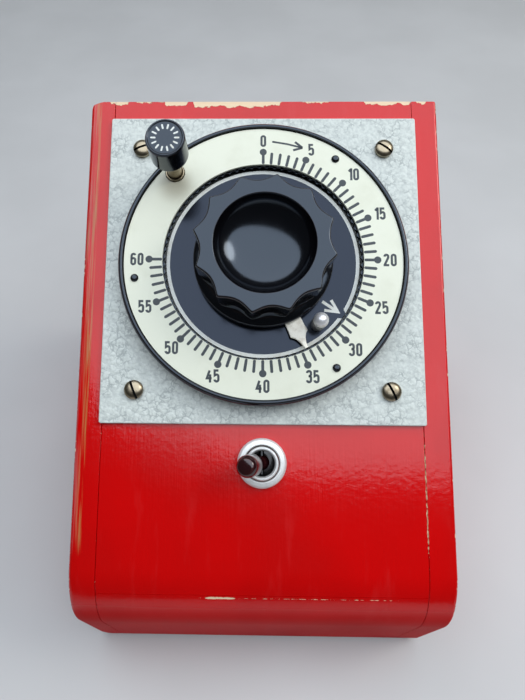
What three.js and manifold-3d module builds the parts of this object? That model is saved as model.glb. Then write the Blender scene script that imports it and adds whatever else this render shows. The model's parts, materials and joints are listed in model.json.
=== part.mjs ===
// Darkroom enlarger timer: a painted wooden desk case with a clockwork dial timer on its sloping panel.
// Units are millimetres, +Z is up, the panel faces -Y and +X is to the right of a person facing it.
// The origin is on the table, at the centre of the footprint.

import * as THREE from 'three';
import { mergeVertices } from 'three/addons/utils/BufferGeometryUtils.js';
import Module from 'manifold-3d';

const manifold = await Module();
manifold.setup();

// ---------- driving dimensions ----------

const GAP = 0.3;                    // clearance between neighbouring pieces
const DEG = Math.PI / 180;

// wooden case
const SLOPE = 28 * DEG;             // panel above the table
const CASE_WIDTH = 139;
const SIDE_THICKNESS = 10;
const FRONT_HEIGHT = 36;            // straight part of the front, under the round nose
const NOSE_RADIUS = 26;
const PANEL_RUN = 180.4;            // flat of the panel, from the end of the nose to the top edge
const PANEL_THICKNESS = 8;
const RAIL_THICKNESS = 12;
const RAIL_JOINT = 13;              // degrees of the nose that belong to the panel
const BACK_THICKNESS = 8;
const COVER_THICKNESS = 4;
const REBATE_LIP = 3.5;             // edge of rail and back board that hides the bottom cover
const JOINT_GAP = 0.15;             // glue line between boards
const FOOT = { radius: 7, height: 3.2, insetX: 21, insetY: 22 };

// cable glands in the back board
const GLAND = { x: 28, z: 30, bore: 4, body: 7, flange: 10, proud: 2 };

// dial face, measured from the dial axis; heights are above the wood of the panel
const DIAL_RUN = 112;               // dial axis from the end of the nose
const PLATE = { size: 120.2, thickness: 1.5, corner: 1.2, screw: 47.3, screwDrop: 0.5 };
const PLATE_TOP = GAP + PLATE.thickness;
const SCALE_HEIGHT = 8.7;           // top of the printed scale
const BEZEL = { outer: 53.5, rimInner: 51.7, bore: 36.9, rimHeight: 9.6, floor: 7.5 };
const TEETH = { count: 80, depth: 0.55, low: 5.7, high: 7.0 };
const SCALE = { outer: 51.4, inner: 37.1, thickness: 1.0 };
const RIVET = { ring: 47.7, clock: [34.7, 146.5, 261.4], head: 1.5, shank: 0.7 };
const DISC = { radius: 36.2, top: 5.5, thickness: 2 };
const KNOB = { tip: 24, flute: 2.5, flutes: 12, turn: 10, base: 8.9, top: 28, dish: 17 };
const HUB = { radius: 7.6, top: 8.6 };    // brass bush under the knob, on which the preset finger turns
const FINGER = { clock: 154.3, hub: 13, low: 7.3, thickness: 0.8, tip: 36.1 };
const INDEX_PIN = { clock: 139.5, ring: 31, radius: 3, top: 17.4 };
const DIAL_REST = 124.2;            // clockwise turn of the dial from its zero, as it stands

// start button
const BUTTON = { x: -33.2, y: 33.7, radius: 6.7, low: 22.5, top: 33.5 };
const PLUNGER = { radius: 2.7, rod: 1.9, collar: 5, collarTop: -11, end: -33.7 };
const BUSH = { inner: 2.95, outer: 3.5, hole: 3.75, low: -4, top: 9.4 };

// toggle switch
const TOGGLE = { y: -74, bush: 6, bore: 4.6, bushTop: 3.6, nut: 9, nutTop: 2.5, pivot: -1.5, lean: -19, reach: 17.5 };

// clockwork, all behind the panel
const MOVEMENT = { radius: 36, thickness: 2, backLow: -30 };
const SPINDLE = { radius: 3, bore: 3.3, low: -31, top: 15 };
const PILLAR = { radius: 3, ring: 31, angles: [50, 170, 290] };
const GREAT = { teeth: 48, module: 0.75, low: -6, thickness: 1.5 };
const SECOND_PINION = { teeth: 10, module: 0.75, low: -7, thickness: 3.5 };
const SECOND = { teeth: 40, module: 0.6, low: -13.5, thickness: 1.2, angle: 89.5 };
const THIRD_PINION = { teeth: 8, module: 0.6, low: -14.5, thickness: 3.2 };
const ARBOR = { radius: 1, hole: 1.3 };
const CAM = { radius: 12, low: -10, thickness: 1.5, notch: 3 };
const BARREL = { radius: 13, wall: 1, low: -26.5, high: -17 };
const FLY = { radius: 8, low: -26, high: -17.5 };
const BRAKE = { radius: 4, low: -37.5, thickness: 1.5 };
const LEVER = { pivot: -34.75, arm: 16, reach: 7.8, thickness: 1.5, width: 5 };

// ---------- finishes ----------

const finish = (color, roughness, metalness) => new THREE.MeshStandardMaterial({ color, roughness, metalness });
const redPaint = finish(0xc00d12, 0.28, 0);
const bareWood = finish(0xb98a58, 0.75, 0);
const hammeredPaint = finish(0xc4cccb, 0.4, 0.35);
const bakelite = finish(0x0b0a0a, 0.18, 0);
const scaleEnamel = finish(0xe6ece4, 0.4, 0);
const nickel = finish(0xb9b4a6, 0.3, 1);
const brass = finish(0xb8924a, 0.35, 1);
const steel = finish(0x8e9094, 0.35, 1);
const springSteel = finish(0x5d6066, 0.4, 1);
const aluminium = finish(0xc9cbcc, 0.35, 1);
const ivory = finish(0xdcd6c4, 0.35, 0);
const rubber = finish(0x1a1a1b, 0.8, 0);
const moulded = finish(0x2a1410, 0.3, 0);

// ---------- solids ----------

/** Turns the faces round if the closed geometry is inside out. */
function facingOut(geometry) {
  const index = geometry.index;
  const place = geometry.attributes.position;
  const corner = (i) => new THREE.Vector3().fromBufferAttribute(place, index ? index.getX(i) : i);
  const count = index ? index.count : place.count;
  let volume = 0;
  for (let i = 0; i < count; i += 3) {
    volume += corner(i).dot(corner(i + 1).cross(corner(i + 2)));
  }
  if (volume > 0) return geometry;
  const merged = welded(geometry);
  const order = merged.index.array;
  for (let i = 0; i < order.length; i += 3) {
    [order[i + 1], order[i + 2]] = [order[i + 2], order[i + 1]];
  }
  return merged;
}

/** A copy with only positions, and with shared corners merged. */
function welded(geometry) {
  const bare = geometry.clone();
  for (const name of Object.keys(bare.attributes)) {
    if (name !== 'position') bare.deleteAttribute(name);
  }
  return mergeVertices(bare, 1e-4);
}

/** A closed geometry as a solid that can be joined and cut. */
function solid(geometry) {
  const merged = welded(facingOut(geometry));
  const mesh = new manifold.Mesh({
    numProp: 3,
    vertProperties: new Float32Array(merged.attributes.position.array),
    triVerts: new Uint32Array(merged.index.array),
  });
  return new manifold.Manifold(mesh);
}

/** The solid's surface as a geometry. */
function surface(body) {
  const mesh = body.getMesh();
  const geometry = new THREE.BufferGeometry();
  geometry.setAttribute('position', new THREE.BufferAttribute(mesh.vertProperties, 3));
  geometry.setIndex(new THREE.BufferAttribute(mesh.triVerts, 1));
  return geometry;
}

/** Cuts a list of geometries out of the first one. */
function cut(geometry, cutters) {
  let body = solid(geometry);
  for (const cutter of cutters) body = body.subtract(solid(cutter));
  return surface(body);
}

/** Joins overlapping geometries into one. */
function join(geometries) {
  const [first, ...rest] = geometries.map(solid);
  return surface(rest.reduce((sum, body) => sum.add(body), first));
}

/** A turned piece: its profile of [radius, height] points goes round the Z axis. */
function turned(profile, segments, closed = false) {
  const points = profile.map(([radius, height]) => new THREE.Vector2(radius, height));
  if (closed) points.push(points[0].clone());
  return facingOut(new THREE.LatheGeometry(points, segments).rotateX(Math.PI / 2));
}

/** A round bar along Z between two heights. */
function bar(radius, low, high, segments = 20, x = 0, y = 0) {
  return new THREE.CylinderGeometry(radius, radius, high - low, segments)
    .rotateX(Math.PI / 2).translate(x, y, (low + high) / 2);
}

/** A box between two corners. */
function block([x0, y0, z0], [x1, y1, z1]) {
  return new THREE.BoxGeometry(x1 - x0, y1 - y0, z1 - z0)
    .translate((x0 + x1) / 2, (y0 + y1) / 2, (z0 + z1) / 2);
}

/** A flat outline with holes, raised along Z from a height. */
function plate(shape, low, thickness, curveSegments = 24) {
  return new THREE.ExtrudeGeometry(shape, { depth: thickness, bevelEnabled: false, curveSegments })
    .translate(0, 0, low);
}

/** Points on a circle, each at a radius that may depend on its angle. */
function ring(count, radiusAt, x = 0, y = 0) {
  return Array.from({ length: count }, (_, i) => {
    const angle = (i / count) * 2 * Math.PI;
    return new THREE.Vector2(x + radiusAt(angle) * Math.cos(angle), y + radiusAt(angle) * Math.sin(angle));
  });
}

/** A round hole as a path of straight pieces. */
function hole(x, y, radius, count = 16) {
  return new THREE.Path(ring(count, () => radius, x, y));
}

/** A place on the dial: its angle runs clockwise from the top, in degrees. */
function clockPoint(clock, radius) {
  return new THREE.Vector2(radius * Math.sin(clock * DEG), radius * Math.cos(clock * DEG));
}

/** A place at an angle counted anticlockwise from +X, in degrees. */
function polar(angle, radius) {
  return new THREE.Vector2(radius * Math.cos(angle * DEG), radius * Math.sin(angle * DEG));
}

/** A toothed wheel's outline: straight-flanked teeth, the first one centred on the angle phase. */
function gearShape({ teeth, module }, phase) {
  const pitch = (2 * Math.PI) / teeth;
  const tip = (module * teeth) / 2 + 0.75 * module;
  const root = (module * teeth) / 2 - 1.1 * module;
  const halfRoot = 0.26 * pitch;
  const halfTip = 0.11 * pitch;
  const points = [];
  for (let k = 0; k < teeth; k += 1) {
    const middle = phase + k * pitch;
    for (const [radius, angle] of [[root, -halfRoot], [tip, -halfTip], [tip, halfTip], [root, halfRoot]]) {
      points.push(new THREE.Vector2(radius * Math.cos(middle + angle), radius * Math.sin(middle + angle)));
    }
  }
  return new THREE.Shape(points);
}

/** A round wire or rod swept along a curve. */
function swept(curve, radius, sides, steps) {
  const section = new THREE.Shape(ring(sides, () => radius));
  return facingOut(new THREE.ExtrudeGeometry(section, { steps, bevelEnabled: false, extrudePath: curve }));
}

/** A coil round the Z axis. */
class Coil extends THREE.Curve {
  constructor(radius, low, high, turns) {
    super();
    Object.assign(this, { radius, low, high, turns });
  }

  getPoint(t, target = new THREE.Vector3()) {
    const angle = 2 * Math.PI * this.turns * t;
    return target.set(
      this.radius * Math.cos(angle),
      this.radius * Math.sin(angle),
      this.low + (this.high - this.low) * t,
    );
  }
}

/** Puts a named piece into a group. */
function add(group, name, geometry, material, x = 0, y = 0, z = 0) {
  const mesh = new THREE.Mesh(geometry, material);
  mesh.name = name;
  mesh.position.set(x, y, z);
  group.add(mesh);
  return mesh;
}

// ---------- the case: side profile in the plane of depth (Y) and height (Z) ----------

const NOSE_END = Math.PI / 2 + SLOPE;                     // where the nose becomes the flat panel
const JOINT_ANGLE = NOSE_END + RAIL_JOINT * DEG;          // where the rail meets the panel
const alongSlope = new THREE.Vector2(Math.cos(SLOPE), Math.sin(SLOPE));
const noseEnd = new THREE.Vector2(
  NOSE_RADIUS + NOSE_RADIUS * Math.cos(NOSE_END),
  FRONT_HEIGHT + NOSE_RADIUS * Math.sin(NOSE_END),
);
const topEdge = noseEnd.clone().addScaledVector(alongSlope, PANEL_RUN);
const dialCentre = noseEnd.clone().addScaledVector(alongSlope, DIAL_RUN);
const CASE_DEPTH = topEdge.x;
const INNER_HALF = CASE_WIDTH / 2 - SIDE_THICKNESS - JOINT_GAP;

/** A side-profile shape, carried across the case between two X places. */
function acrossCase(shape, x0, x1, curveSegments = 10) {
  const across = new THREE.Matrix4().makeBasis(
    new THREE.Vector3(0, 1, 0),
    new THREE.Vector3(0, 0, 1),
    new THREE.Vector3(1, 0, 0),
  );
  return new THREE.ExtrudeGeometry(shape, { depth: x1 - x0, bevelEnabled: false, curveSegments })
    .applyMatrix4(across).translate(x0, 0, 0);
}

/** The dial's frame: X across, Y up the slope, Z out of the panel, zero on the wood at the dial axis. */
const panelFrame = new THREE.Matrix4().makeRotationX(SLOPE).setPosition(0, dialCentre.x, dialCentre.y);

function sideProfile() {
  const shape = new THREE.Shape();
  shape.moveTo(0, 0);
  shape.lineTo(0, FRONT_HEIGHT);
  shape.absarc(NOSE_RADIUS, FRONT_HEIGHT, NOSE_RADIUS, Math.PI, NOSE_END, true);
  shape.lineTo(topEdge.x, topEdge.y);
  shape.lineTo(topEdge.x, 0);
  return shape;
}

function railProfile() {
  const shape = new THREE.Shape();
  shape.moveTo(0, 0);
  shape.lineTo(0, FRONT_HEIGHT);
  shape.absarc(NOSE_RADIUS, FRONT_HEIGHT, NOSE_RADIUS, Math.PI, JOINT_ANGLE, true);
  shape.absarc(NOSE_RADIUS, FRONT_HEIGHT, NOSE_RADIUS - RAIL_THICKNESS, JOINT_ANGLE, Math.PI, false);
  shape.lineTo(RAIL_THICKNESS, COVER_THICKNESS + GAP);
  shape.lineTo(REBATE_LIP, COVER_THICKNESS + GAP);
  shape.lineTo(REBATE_LIP, 0);
  return shape;
}

function panelProfile() {
  const start = JOINT_ANGLE - JOINT_GAP / NOSE_RADIUS;
  const shape = new THREE.Shape();
  shape.absarc(NOSE_RADIUS, FRONT_HEIGHT, NOSE_RADIUS, start, NOSE_END, true);
  shape.lineTo(topEdge.x, topEdge.y);
  shape.lineTo(topEdge.x, topEdge.y - PANEL_THICKNESS / Math.cos(SLOPE));
  shape.absarc(NOSE_RADIUS, FRONT_HEIGHT, NOSE_RADIUS - PANEL_THICKNESS, NOSE_END, start, false);
  return shape;
}

function backProfile() {
  const top = topEdge.y - (PANEL_THICKNESS + GAP) / Math.cos(SLOPE);
  const shape = new THREE.Shape();
  shape.moveTo(CASE_DEPTH, 0);
  shape.lineTo(CASE_DEPTH, top);
  shape.lineTo(CASE_DEPTH - BACK_THICKNESS, top - BACK_THICKNESS * Math.tan(SLOPE));
  shape.lineTo(CASE_DEPTH - BACK_THICKNESS, COVER_THICKNESS + GAP);
  shape.lineTo(CASE_DEPTH - REBATE_LIP, COVER_THICKNESS + GAP);
  shape.lineTo(CASE_DEPTH - REBATE_LIP, 0);
  return shape;
}

const screwPlaces = [[-1, 1], [1, 1], [-1, -1], [1, -1]].map(
  ([i, j]) => new THREE.Vector2(i * PLATE.screw, j * PLATE.screw - PLATE.screwDrop),
);

/** The wooden panel, with the clockwork's opening and the holes of button, screws and toggle. */
function slopedPanel() {
  const board = acrossCase(panelProfile(), -INNER_HALF, INNER_HALF);
  const openings = [
    bar(48, -PANEL_THICKNESS - 2, 2, 48),
    bar(6, -PANEL_THICKNESS - 2, 2, 20, BUTTON.x, BUTTON.y),
    bar(TOGGLE.bush + GAP, -PANEL_THICKNESS - 2, 2, 24, 0, TOGGLE.y),
    ...screwPlaces.map((place) => bar(1.9, -7, 2, 10, place.x, place.y)),
  ];
  return cut(board, openings.map((opening) => opening.applyMatrix4(panelFrame)));
}

const coverScrewPlaces = [[-40, 6.2], [40, 6.2], [-40, CASE_DEPTH - 5.8], [40, CASE_DEPTH - 5.8]];

function bottomCover() {
  const cover = block(
    [-INNER_HALF, REBATE_LIP + GAP, 0],
    [INNER_HALF, CASE_DEPTH - REBATE_LIP - GAP, COVER_THICKNESS],
  );
  return cut(cover, coverScrewPlaces.map(([x, y]) => bar(1.5, -1, COVER_THICKNESS + 1, 10, x, y)));
}

function buildCase(timer) {
  const half = CASE_WIDTH / 2;
  const wall = CASE_DEPTH - BACK_THICKNESS;
  add(timer, 'case_left_side', acrossCase(sideProfile(), -half, -half + SIDE_THICKNESS), redPaint);
  add(timer, 'case_right_side', acrossCase(sideProfile(), half - SIDE_THICKNESS, half), redPaint);
  const coverPilots = coverScrewPlaces.map(([x, y]) => bar(1.3, 0, 9, 10, x, y));
  add(timer, 'front_rail', cut(acrossCase(railProfile(), -INNER_HALF, INNER_HALF), coverPilots), redPaint);
  add(timer, 'sloped_panel', slopedPanel(), redPaint);
  const glandHoles = [-1, 1].map((side) => bar(GLAND.body + GAP, -CASE_DEPTH - 2, -wall + 2, 24)
    .rotateX(Math.PI / 2).translate(side * GLAND.x, 0, GLAND.z));
  const back = acrossCase(backProfile(), -INNER_HALF, INNER_HALF);
  add(timer, 'back_board', cut(back, [...glandHoles, ...coverPilots]), redPaint);
  add(timer, 'bottom_cover', bottomCover(), bareWood);

  const screw = turned([[0, -1.1], [1.6, -1.1], [2.4, -0.3], [1, -0.3], [1, 7.5], [0, 8.2]], 8);
  coverScrewPlaces.forEach(([x, y], i) => add(timer, `cover_screw_${i + 1}`, screw, nickel, x, y));

  const footProfile = [[0, -FOOT.height - GAP], [FOOT.radius - 1, -FOOT.height - GAP],
    [FOOT.radius, -FOOT.height + 0.7], [FOOT.radius, -GAP], [0, -GAP]];
  [[-1, 0], [1, 0], [-1, 1], [1, 1]].forEach(([side, back_row], i) => {
    const x = side * (half - FOOT.insetX);
    const y = back_row ? CASE_DEPTH - FOOT.insetY : FOOT.insetY;
    add(timer, `rubber_foot_${i + 1}`, turned(footProfile, 16), rubber, x, y);
  });
}

/** Rubber glands for the mains lead and the lamp lead, and the block that joins their wires. */
function buildCableEntries(timer) {
  const wall = BACK_THICKNESS + 2 * GAP;
  const profile = [[GLAND.bore, -GLAND.proud], [GLAND.bore, wall + 1.6], [GLAND.flange - 1, wall + 1.6],
    [GLAND.flange - 1, wall], [GLAND.body, wall], [GLAND.body, 0], [GLAND.flange, 0],
    [GLAND.flange - 0.6, -GLAND.proud]];
  const gland = turned(profile, 18, true).rotateX(Math.PI / 2);
  [['mains_gland', -1], ['lamp_gland', 1]].forEach(([name, side]) => {
    add(timer, name, gland, rubber, side * GLAND.x, CASE_DEPTH + GAP, GLAND.z);
  });
  const body = block([-24, -7, 0], [24, 7, 11]);
  const wireHoles = [-18, -6, 6, 18].map((x) => bar(2.2, -8, 8, 12).rotateX(Math.PI / 2).translate(x, 0, 5));
  add(timer, 'terminal_block', cut(body, wireHoles), ivory, 0, CASE_DEPTH - 30, COVER_THICKNESS + GAP);
}

// ---------- the dial face ----------

function buildFaceplate(panel) {
  const half = PLATE.size / 2;
  const shape = new THREE.Shape();
  shape.moveTo(-half, -half + PLATE.corner);
  shape.lineTo(-half, half - PLATE.corner);
  shape.quadraticCurveTo(-half, half, -half + PLATE.corner, half);
  shape.lineTo(half - PLATE.corner, half);
  shape.quadraticCurveTo(half, half, half, half - PLATE.corner);
  shape.lineTo(half, -half + PLATE.corner);
  shape.quadraticCurveTo(half, -half, half - PLATE.corner, -half);
  shape.lineTo(-half + PLATE.corner, -half);
  shape.quadraticCurveTo(-half, -half, -half, -half + PLATE.corner);
  shape.holes.push(hole(0, 0, 6, 24), hole(BUTTON.x, BUTTON.y, BUSH.hole));
  for (const place of screwPlaces) shape.holes.push(hole(place.x, place.y, 1.9, 12));
  add(panel, 'faceplate', plate(shape, GAP, PLATE.thickness, 2), hammeredPaint);

  const low = PLATE_TOP + GAP;
  const head = turned([[0, -5], [1.5, -3.6], [1.5, low], [3.5, low], [3.5, low + 1.1],
    [2.4, low + 2], [0, low + 2.3]], 16);
  const slotTurns = [20, -35, 62, -70];
  screwPlaces.forEach((place, i) => {
    const slot = block([-4, -0.45, low + 1.2], [4, 0.45, low + 3]).rotateZ(slotTurns[i] * DEG);
    add(panel, `faceplate_screw_${i + 1}`, cut(head, [slot]), nickel, place.x, place.y);
  });
}

/** The bakelite bezel: a ring with a raised rim, and a crown of small teeth inside its bore. */
function bezelRing() {
  const body = turned([[BEZEL.bore, PLATE_TOP + GAP], [BEZEL.outer, PLATE_TOP + GAP],
    [BEZEL.outer, BEZEL.rimHeight - 0.7], [BEZEL.outer - 0.7, BEZEL.rimHeight], [BEZEL.rimInner, BEZEL.rimHeight],
    [BEZEL.rimInner, BEZEL.floor], [BEZEL.bore, BEZEL.floor]], TEETH.count, true);
  const crown = new THREE.Shape(ring(TEETH.count, () => BEZEL.bore + 1));
  const pitch = (2 * Math.PI) / TEETH.count;
  const inside = [];
  for (let k = 0; k < TEETH.count; k += 1) {
    const root = BEZEL.bore + 0.1;
    const tip = BEZEL.bore - TEETH.depth;
    for (const [radius, part] of [[root, -0.3], [tip, 0], [root, 0.3]]) {
      const angle = (k + part) * pitch;
      inside.push(new THREE.Vector2(radius * Math.cos(angle), radius * Math.sin(angle)));
    }
  }
  crown.holes.push(new THREE.Path(inside));
  const toothed = join([body, plate(crown, TEETH.low, TEETH.high - TEETH.low)]);
  return cut(toothed, [bar(BUSH.hole, 0, 12, 16, BUTTON.x, BUTTON.y)]);
}

function buildScale(panel) {
  add(panel, 'bezel_ring', bezelRing(), bakelite);
  const rivets = RIVET.clock.map((clock) => clockPoint(clock, RIVET.ring));
  const shape = new THREE.Shape(ring(80, () => SCALE.outer));
  shape.holes.push(new THREE.Path(ring(80, () => SCALE.inner)), hole(BUTTON.x, BUTTON.y, BUSH.hole));
  for (const place of rivets) shape.holes.push(hole(place.x, place.y, RIVET.shank + 0.25, 10));
  add(panel, 'scale_ring', plate(shape, SCALE_HEIGHT - SCALE.thickness, SCALE.thickness), scaleEnamel);
  const rivet = turned([[0, BEZEL.floor + 0.2], [RIVET.shank, BEZEL.floor + 0.2],
    [RIVET.shank, SCALE_HEIGHT + 0.1], [RIVET.head, SCALE_HEIGHT + 0.1],
    [RIVET.head - 0.6, SCALE_HEIGHT + 0.9], [0, SCALE_HEIGHT + 1.1]], 10);
  rivets.forEach((place, i) => add(panel, `scale_rivet_${i + 1}`, rivet, bakelite, place.x, place.y));
}

/** The setting knob: twelve shallow flutes, a deep dish on top and a round flange at the foot. */
function settingKnob() {
  const { tip, base, top, dish, flute, flutes, turn } = KNOB;
  const profile = [[0, SPINDLE.top + GAP], [SPINDLE.bore, SPINDLE.top + GAP], [SPINDLE.bore, base],
    [tip, base], [tip, base + 2.2], [tip - 1.6, base + 3.2], [tip, base + 4.4], [tip, top - 1.4], [tip - 1.6, top],
    [dish, top], [dish - 1.6, top - 3.6], [dish - 6, top - 6.4], [0, top - 8.8]];
  const geometry = turned(profile, flutes * 5);
  const place = geometry.attributes.position;
  for (let i = 0; i < place.count; i += 1) {
    const [x, y, z] = [place.getX(i), place.getY(i), place.getZ(i)];
    const radius = Math.hypot(x, y);
    if (radius < dish + 1 || z < base + 3) continue;
    const lobe = 0.5 - 0.5 * Math.cos((Math.atan2(x, y) - turn * DEG) * flutes);
    const scale = (radius - flute * lobe ** 0.7) / radius;
    place.setXY(i, x * scale, y * scale);
  }
  return geometry;
}

/** The preset finger: a hub ring under the knob with a leaf whose point reaches the toothed crown. */
function presetFinger() {
  const leaf = new THREE.Shape();
  leaf.moveTo(-3.6, FINGER.hub - 3);
  leaf.lineTo(-3.5, 26);
  leaf.lineTo(-3.4, 30.3);
  leaf.quadraticCurveTo(-1.2, 31.6, -0.75, FINGER.tip);
  leaf.lineTo(0.75, FINGER.tip);
  leaf.quadraticCurveTo(1.2, 31.6, 3.4, 30.3);
  leaf.lineTo(3.5, 26);
  leaf.lineTo(3.6, FINGER.hub - 3);
  const hub = new THREE.Shape(ring(36, () => FINGER.hub));
  hub.holes.push(hole(0, 0, HUB.radius + 0.8, 36));
  const parts = [plate(hub, FINGER.low, FINGER.thickness), plate(leaf, FINGER.low, FINGER.thickness, 5)];
  return join(parts).rotateZ(-FINGER.clock * DEG);
}

function buildDial(panel) {
  const pinPlace = clockPoint(INDEX_PIN.clock, INDEX_PIN.ring);
  const disc = turned([[SPINDLE.bore, DISC.top - DISC.thickness], [DISC.radius, DISC.top - DISC.thickness],
    [DISC.radius, DISC.top], [SPINDLE.bore, DISC.top]], 60, true);
  add(panel, 'dial_disc', cut(disc, [bar(1.5, 0, 9, 12, pinPlace.x, pinPlace.y)]), bakelite);
  add(panel, 'setting_knob', settingKnob(), bakelite);
  const hub = turned([[SPINDLE.bore, DISC.top + GAP], [HUB.radius, DISC.top + GAP], [HUB.radius, HUB.top],
    [SPINDLE.bore, HUB.top]], 36, true);
  add(panel, 'knob_hub', hub, brass);
  const pin = turned([[0, DISC.top - 1.8], [1.2, DISC.top - 1.8], [1.2, DISC.top + GAP],
    [INDEX_PIN.radius, DISC.top + GAP], [INDEX_PIN.radius, INDEX_PIN.top - 1.4],
    [INDEX_PIN.radius - 1.2, INDEX_PIN.top - 0.2], [0, INDEX_PIN.top]], 16);
  add(panel, 'index_pin', pin, nickel, pinPlace.x, pinPlace.y);
  add(panel, 'preset_finger', presetFinger(), ivory);
  add(panel, 'main_spindle', bar(SPINDLE.radius, SPINDLE.low, SPINDLE.top, 24), steel);
}

// ---------- the start button and its trip lever ----------

const buttonPlace = new THREE.Vector2(BUTTON.x, BUTTON.y);

function buildButton(panel) {
  const { radius, low, top } = BUTTON;
  const cap = turned([[0, low + 7], [BUSH.inner, low + 7], [BUSH.inner, low], [radius - 0.4, low],
    [radius, low + 0.4], [radius, top - 0.9], [radius - 0.3, top - 0.2], [radius - 0.8, top],
    [radius - 1.2, top - 0.3], [0, top - 0.3]], 24);
  add(panel, 'start_button', cap, bakelite, BUTTON.x, BUTTON.y);
  const { rod, collar, collarTop, end } = PLUNGER;
  const stem = turned([[0, end], [rod, end], [rod, collarTop - 1], [collar, collarTop - 1], [collar, collarTop],
    [PLUNGER.radius, collarTop], [PLUNGER.radius, low + 7 - GAP], [0, low + 7 - GAP]], 16);
  add(panel, 'start_plunger', stem, nickel, BUTTON.x, BUTTON.y);
  const bush = turned([[BUSH.inner, BUSH.low], [BUSH.outer, BUSH.low], [BUSH.outer, BUSH.top - 0.3],
    [BUSH.outer - 0.3, BUSH.top], [BUSH.inner, BUSH.top]], 20, true);
  add(panel, 'plunger_bush', bush, nickel, BUTTON.x, BUTTON.y);
  const wire = 0.5;
  const high = collarTop - 1 - GAP - wire;
  const rest = MOVEMENT.backLow + MOVEMENT.thickness + GAP + wire;
  add(panel, 'plunger_spring', swept(new Coil(3.7, rest, high, 6.5), wire, 5, 52), springSteel, BUTTON.x, BUTTON.y);
}

// the train: the second arbor lies on a circle round the spindle, the governor arbor beyond it
const pitchRadius = ({ teeth, module }) => (teeth * module) / 2;
const SECOND_CENTRE = pitchRadius(GREAT) + pitchRadius(SECOND_PINION);
const THIRD_CENTRE = pitchRadius(SECOND) + pitchRadius(THIRD_PINION);
const secondPlace = polar(SECOND.angle, SECOND_CENTRE);
const spread = 2 * Math.asin(THIRD_CENTRE / 2 / SECOND_CENTRE) / DEG;
const thirdPlace = polar(SECOND.angle + spread, SECOND_CENTRE);

/** Rocking lever behind the back plate: the button's rod tips it off the governor's brake disc. */
function buildTripLever(panel) {
  const rock = new THREE.Group();
  const towards = thirdPlace.clone().sub(buttonPlace).normalize();
  rock.position.set(BUTTON.x + towards.x * LEVER.arm, BUTTON.y + towards.y * LEVER.arm, LEVER.pivot);
  rock.rotation.z = towards.angle();
  panel.add(rock);
  const halfWidth = LEVER.width / 2;
  const thick = LEVER.thickness / 2;
  const barrel = bar(2, -halfWidth, halfWidth, 16).rotateX(Math.PI / 2);
  const strip = block([-LEVER.arm - 3, -halfWidth, -thick], [LEVER.reach, halfWidth, thick]);
  const pinHole = bar(1.1, -5, 5, 14).rotateX(Math.PI / 2);
  add(rock, 'trip_lever', cut(join([strip, barrel]), [pinHole]), brass);
  const base = MOVEMENT.backLow - GAP - LEVER.pivot;
  const cheek = halfWidth + 0.7;
  const bracket = join([
    block([-3, -cheek - 1, base - 1], [3, cheek + 1, base]),
    block([-3, cheek, -2.5], [3, cheek + 1, base]),
    block([-3, -cheek - 1, -2.5], [3, -cheek, base]),
    bar(0.8, -cheek - 0.5, cheek + 0.5, 12).rotateX(Math.PI / 2),
  ]);
  add(rock, 'trip_lever_bracket', bracket, steel);
}

// ---------- the clockwork ----------

function wheelShape(gear, phase, bore, windows) {
  const shape = gearShape(gear, phase);
  shape.holes.push(hole(0, 0, bore, 20));
  for (const place of windows) shape.holes.push(hole(place.x, place.y, 3.4, 8));
  return shape;
}

function buildTrain(panel) {
  const meshAngle = SECOND.angle * DEG;
  const windows = [0, 1, 2, 3, 4].map((k) => polar(k * 72, 10.5));
  const great = plate(wheelShape(GREAT, meshAngle, SPINDLE.bore, windows), GREAT.low, GREAT.thickness);
  add(panel, 'great_wheel', great, brass);

  const low = MOVEMENT.backLow + 0.2;
  const back = meshAngle + Math.PI + Math.PI / SECOND_PINION.teeth;
  const onward = thirdPlace.clone().sub(secondPlace).angle();
  const pinion = plate(gearShape(SECOND_PINION, back), SECOND_PINION.low, SECOND_PINION.thickness);
  const wheel = plate(gearShape(SECOND, onward), SECOND.low, SECOND.thickness);
  const second = join([bar(ARBOR.radius, low, -0.2, 14), pinion, wheel]);
  add(panel, 'second_wheel', second, brass, secondPlace.x, secondPlace.y);

  const facing = onward + Math.PI + Math.PI / THIRD_PINION.teeth;
  const leaves = plate(gearShape(THIRD_PINION, facing), THIRD_PINION.low, THIRD_PINION.thickness);
  const arbor = join([bar(ARBOR.radius, BRAKE.low - 0.5, -0.2, 14), leaves]);
  add(panel, 'governor_arbor', arbor, steel, thirdPlace.x, thirdPlace.y);

  const sleeve = bar(2.3, FLY.low, FLY.high, 16);
  const vanes = block([-FLY.radius, -0.35, FLY.low + 0.5], [FLY.radius, 0.35, FLY.high - 0.5]);
  const fly = cut(join([sleeve, vanes]), [bar(ARBOR.hole, FLY.low - 1, FLY.high + 1, 14)]);
  add(panel, 'governor_fly', fly, aluminium, thirdPlace.x, thirdPlace.y);
  const brake = turned([[ARBOR.hole, BRAKE.low], [BRAKE.radius, BRAKE.low],
    [BRAKE.radius, BRAKE.low + BRAKE.thickness], [ARBOR.hole, BRAKE.low + BRAKE.thickness]], 24, true);
  add(panel, 'brake_disc', brake, steel, thirdPlace.x, thirdPlace.y);
}

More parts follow.
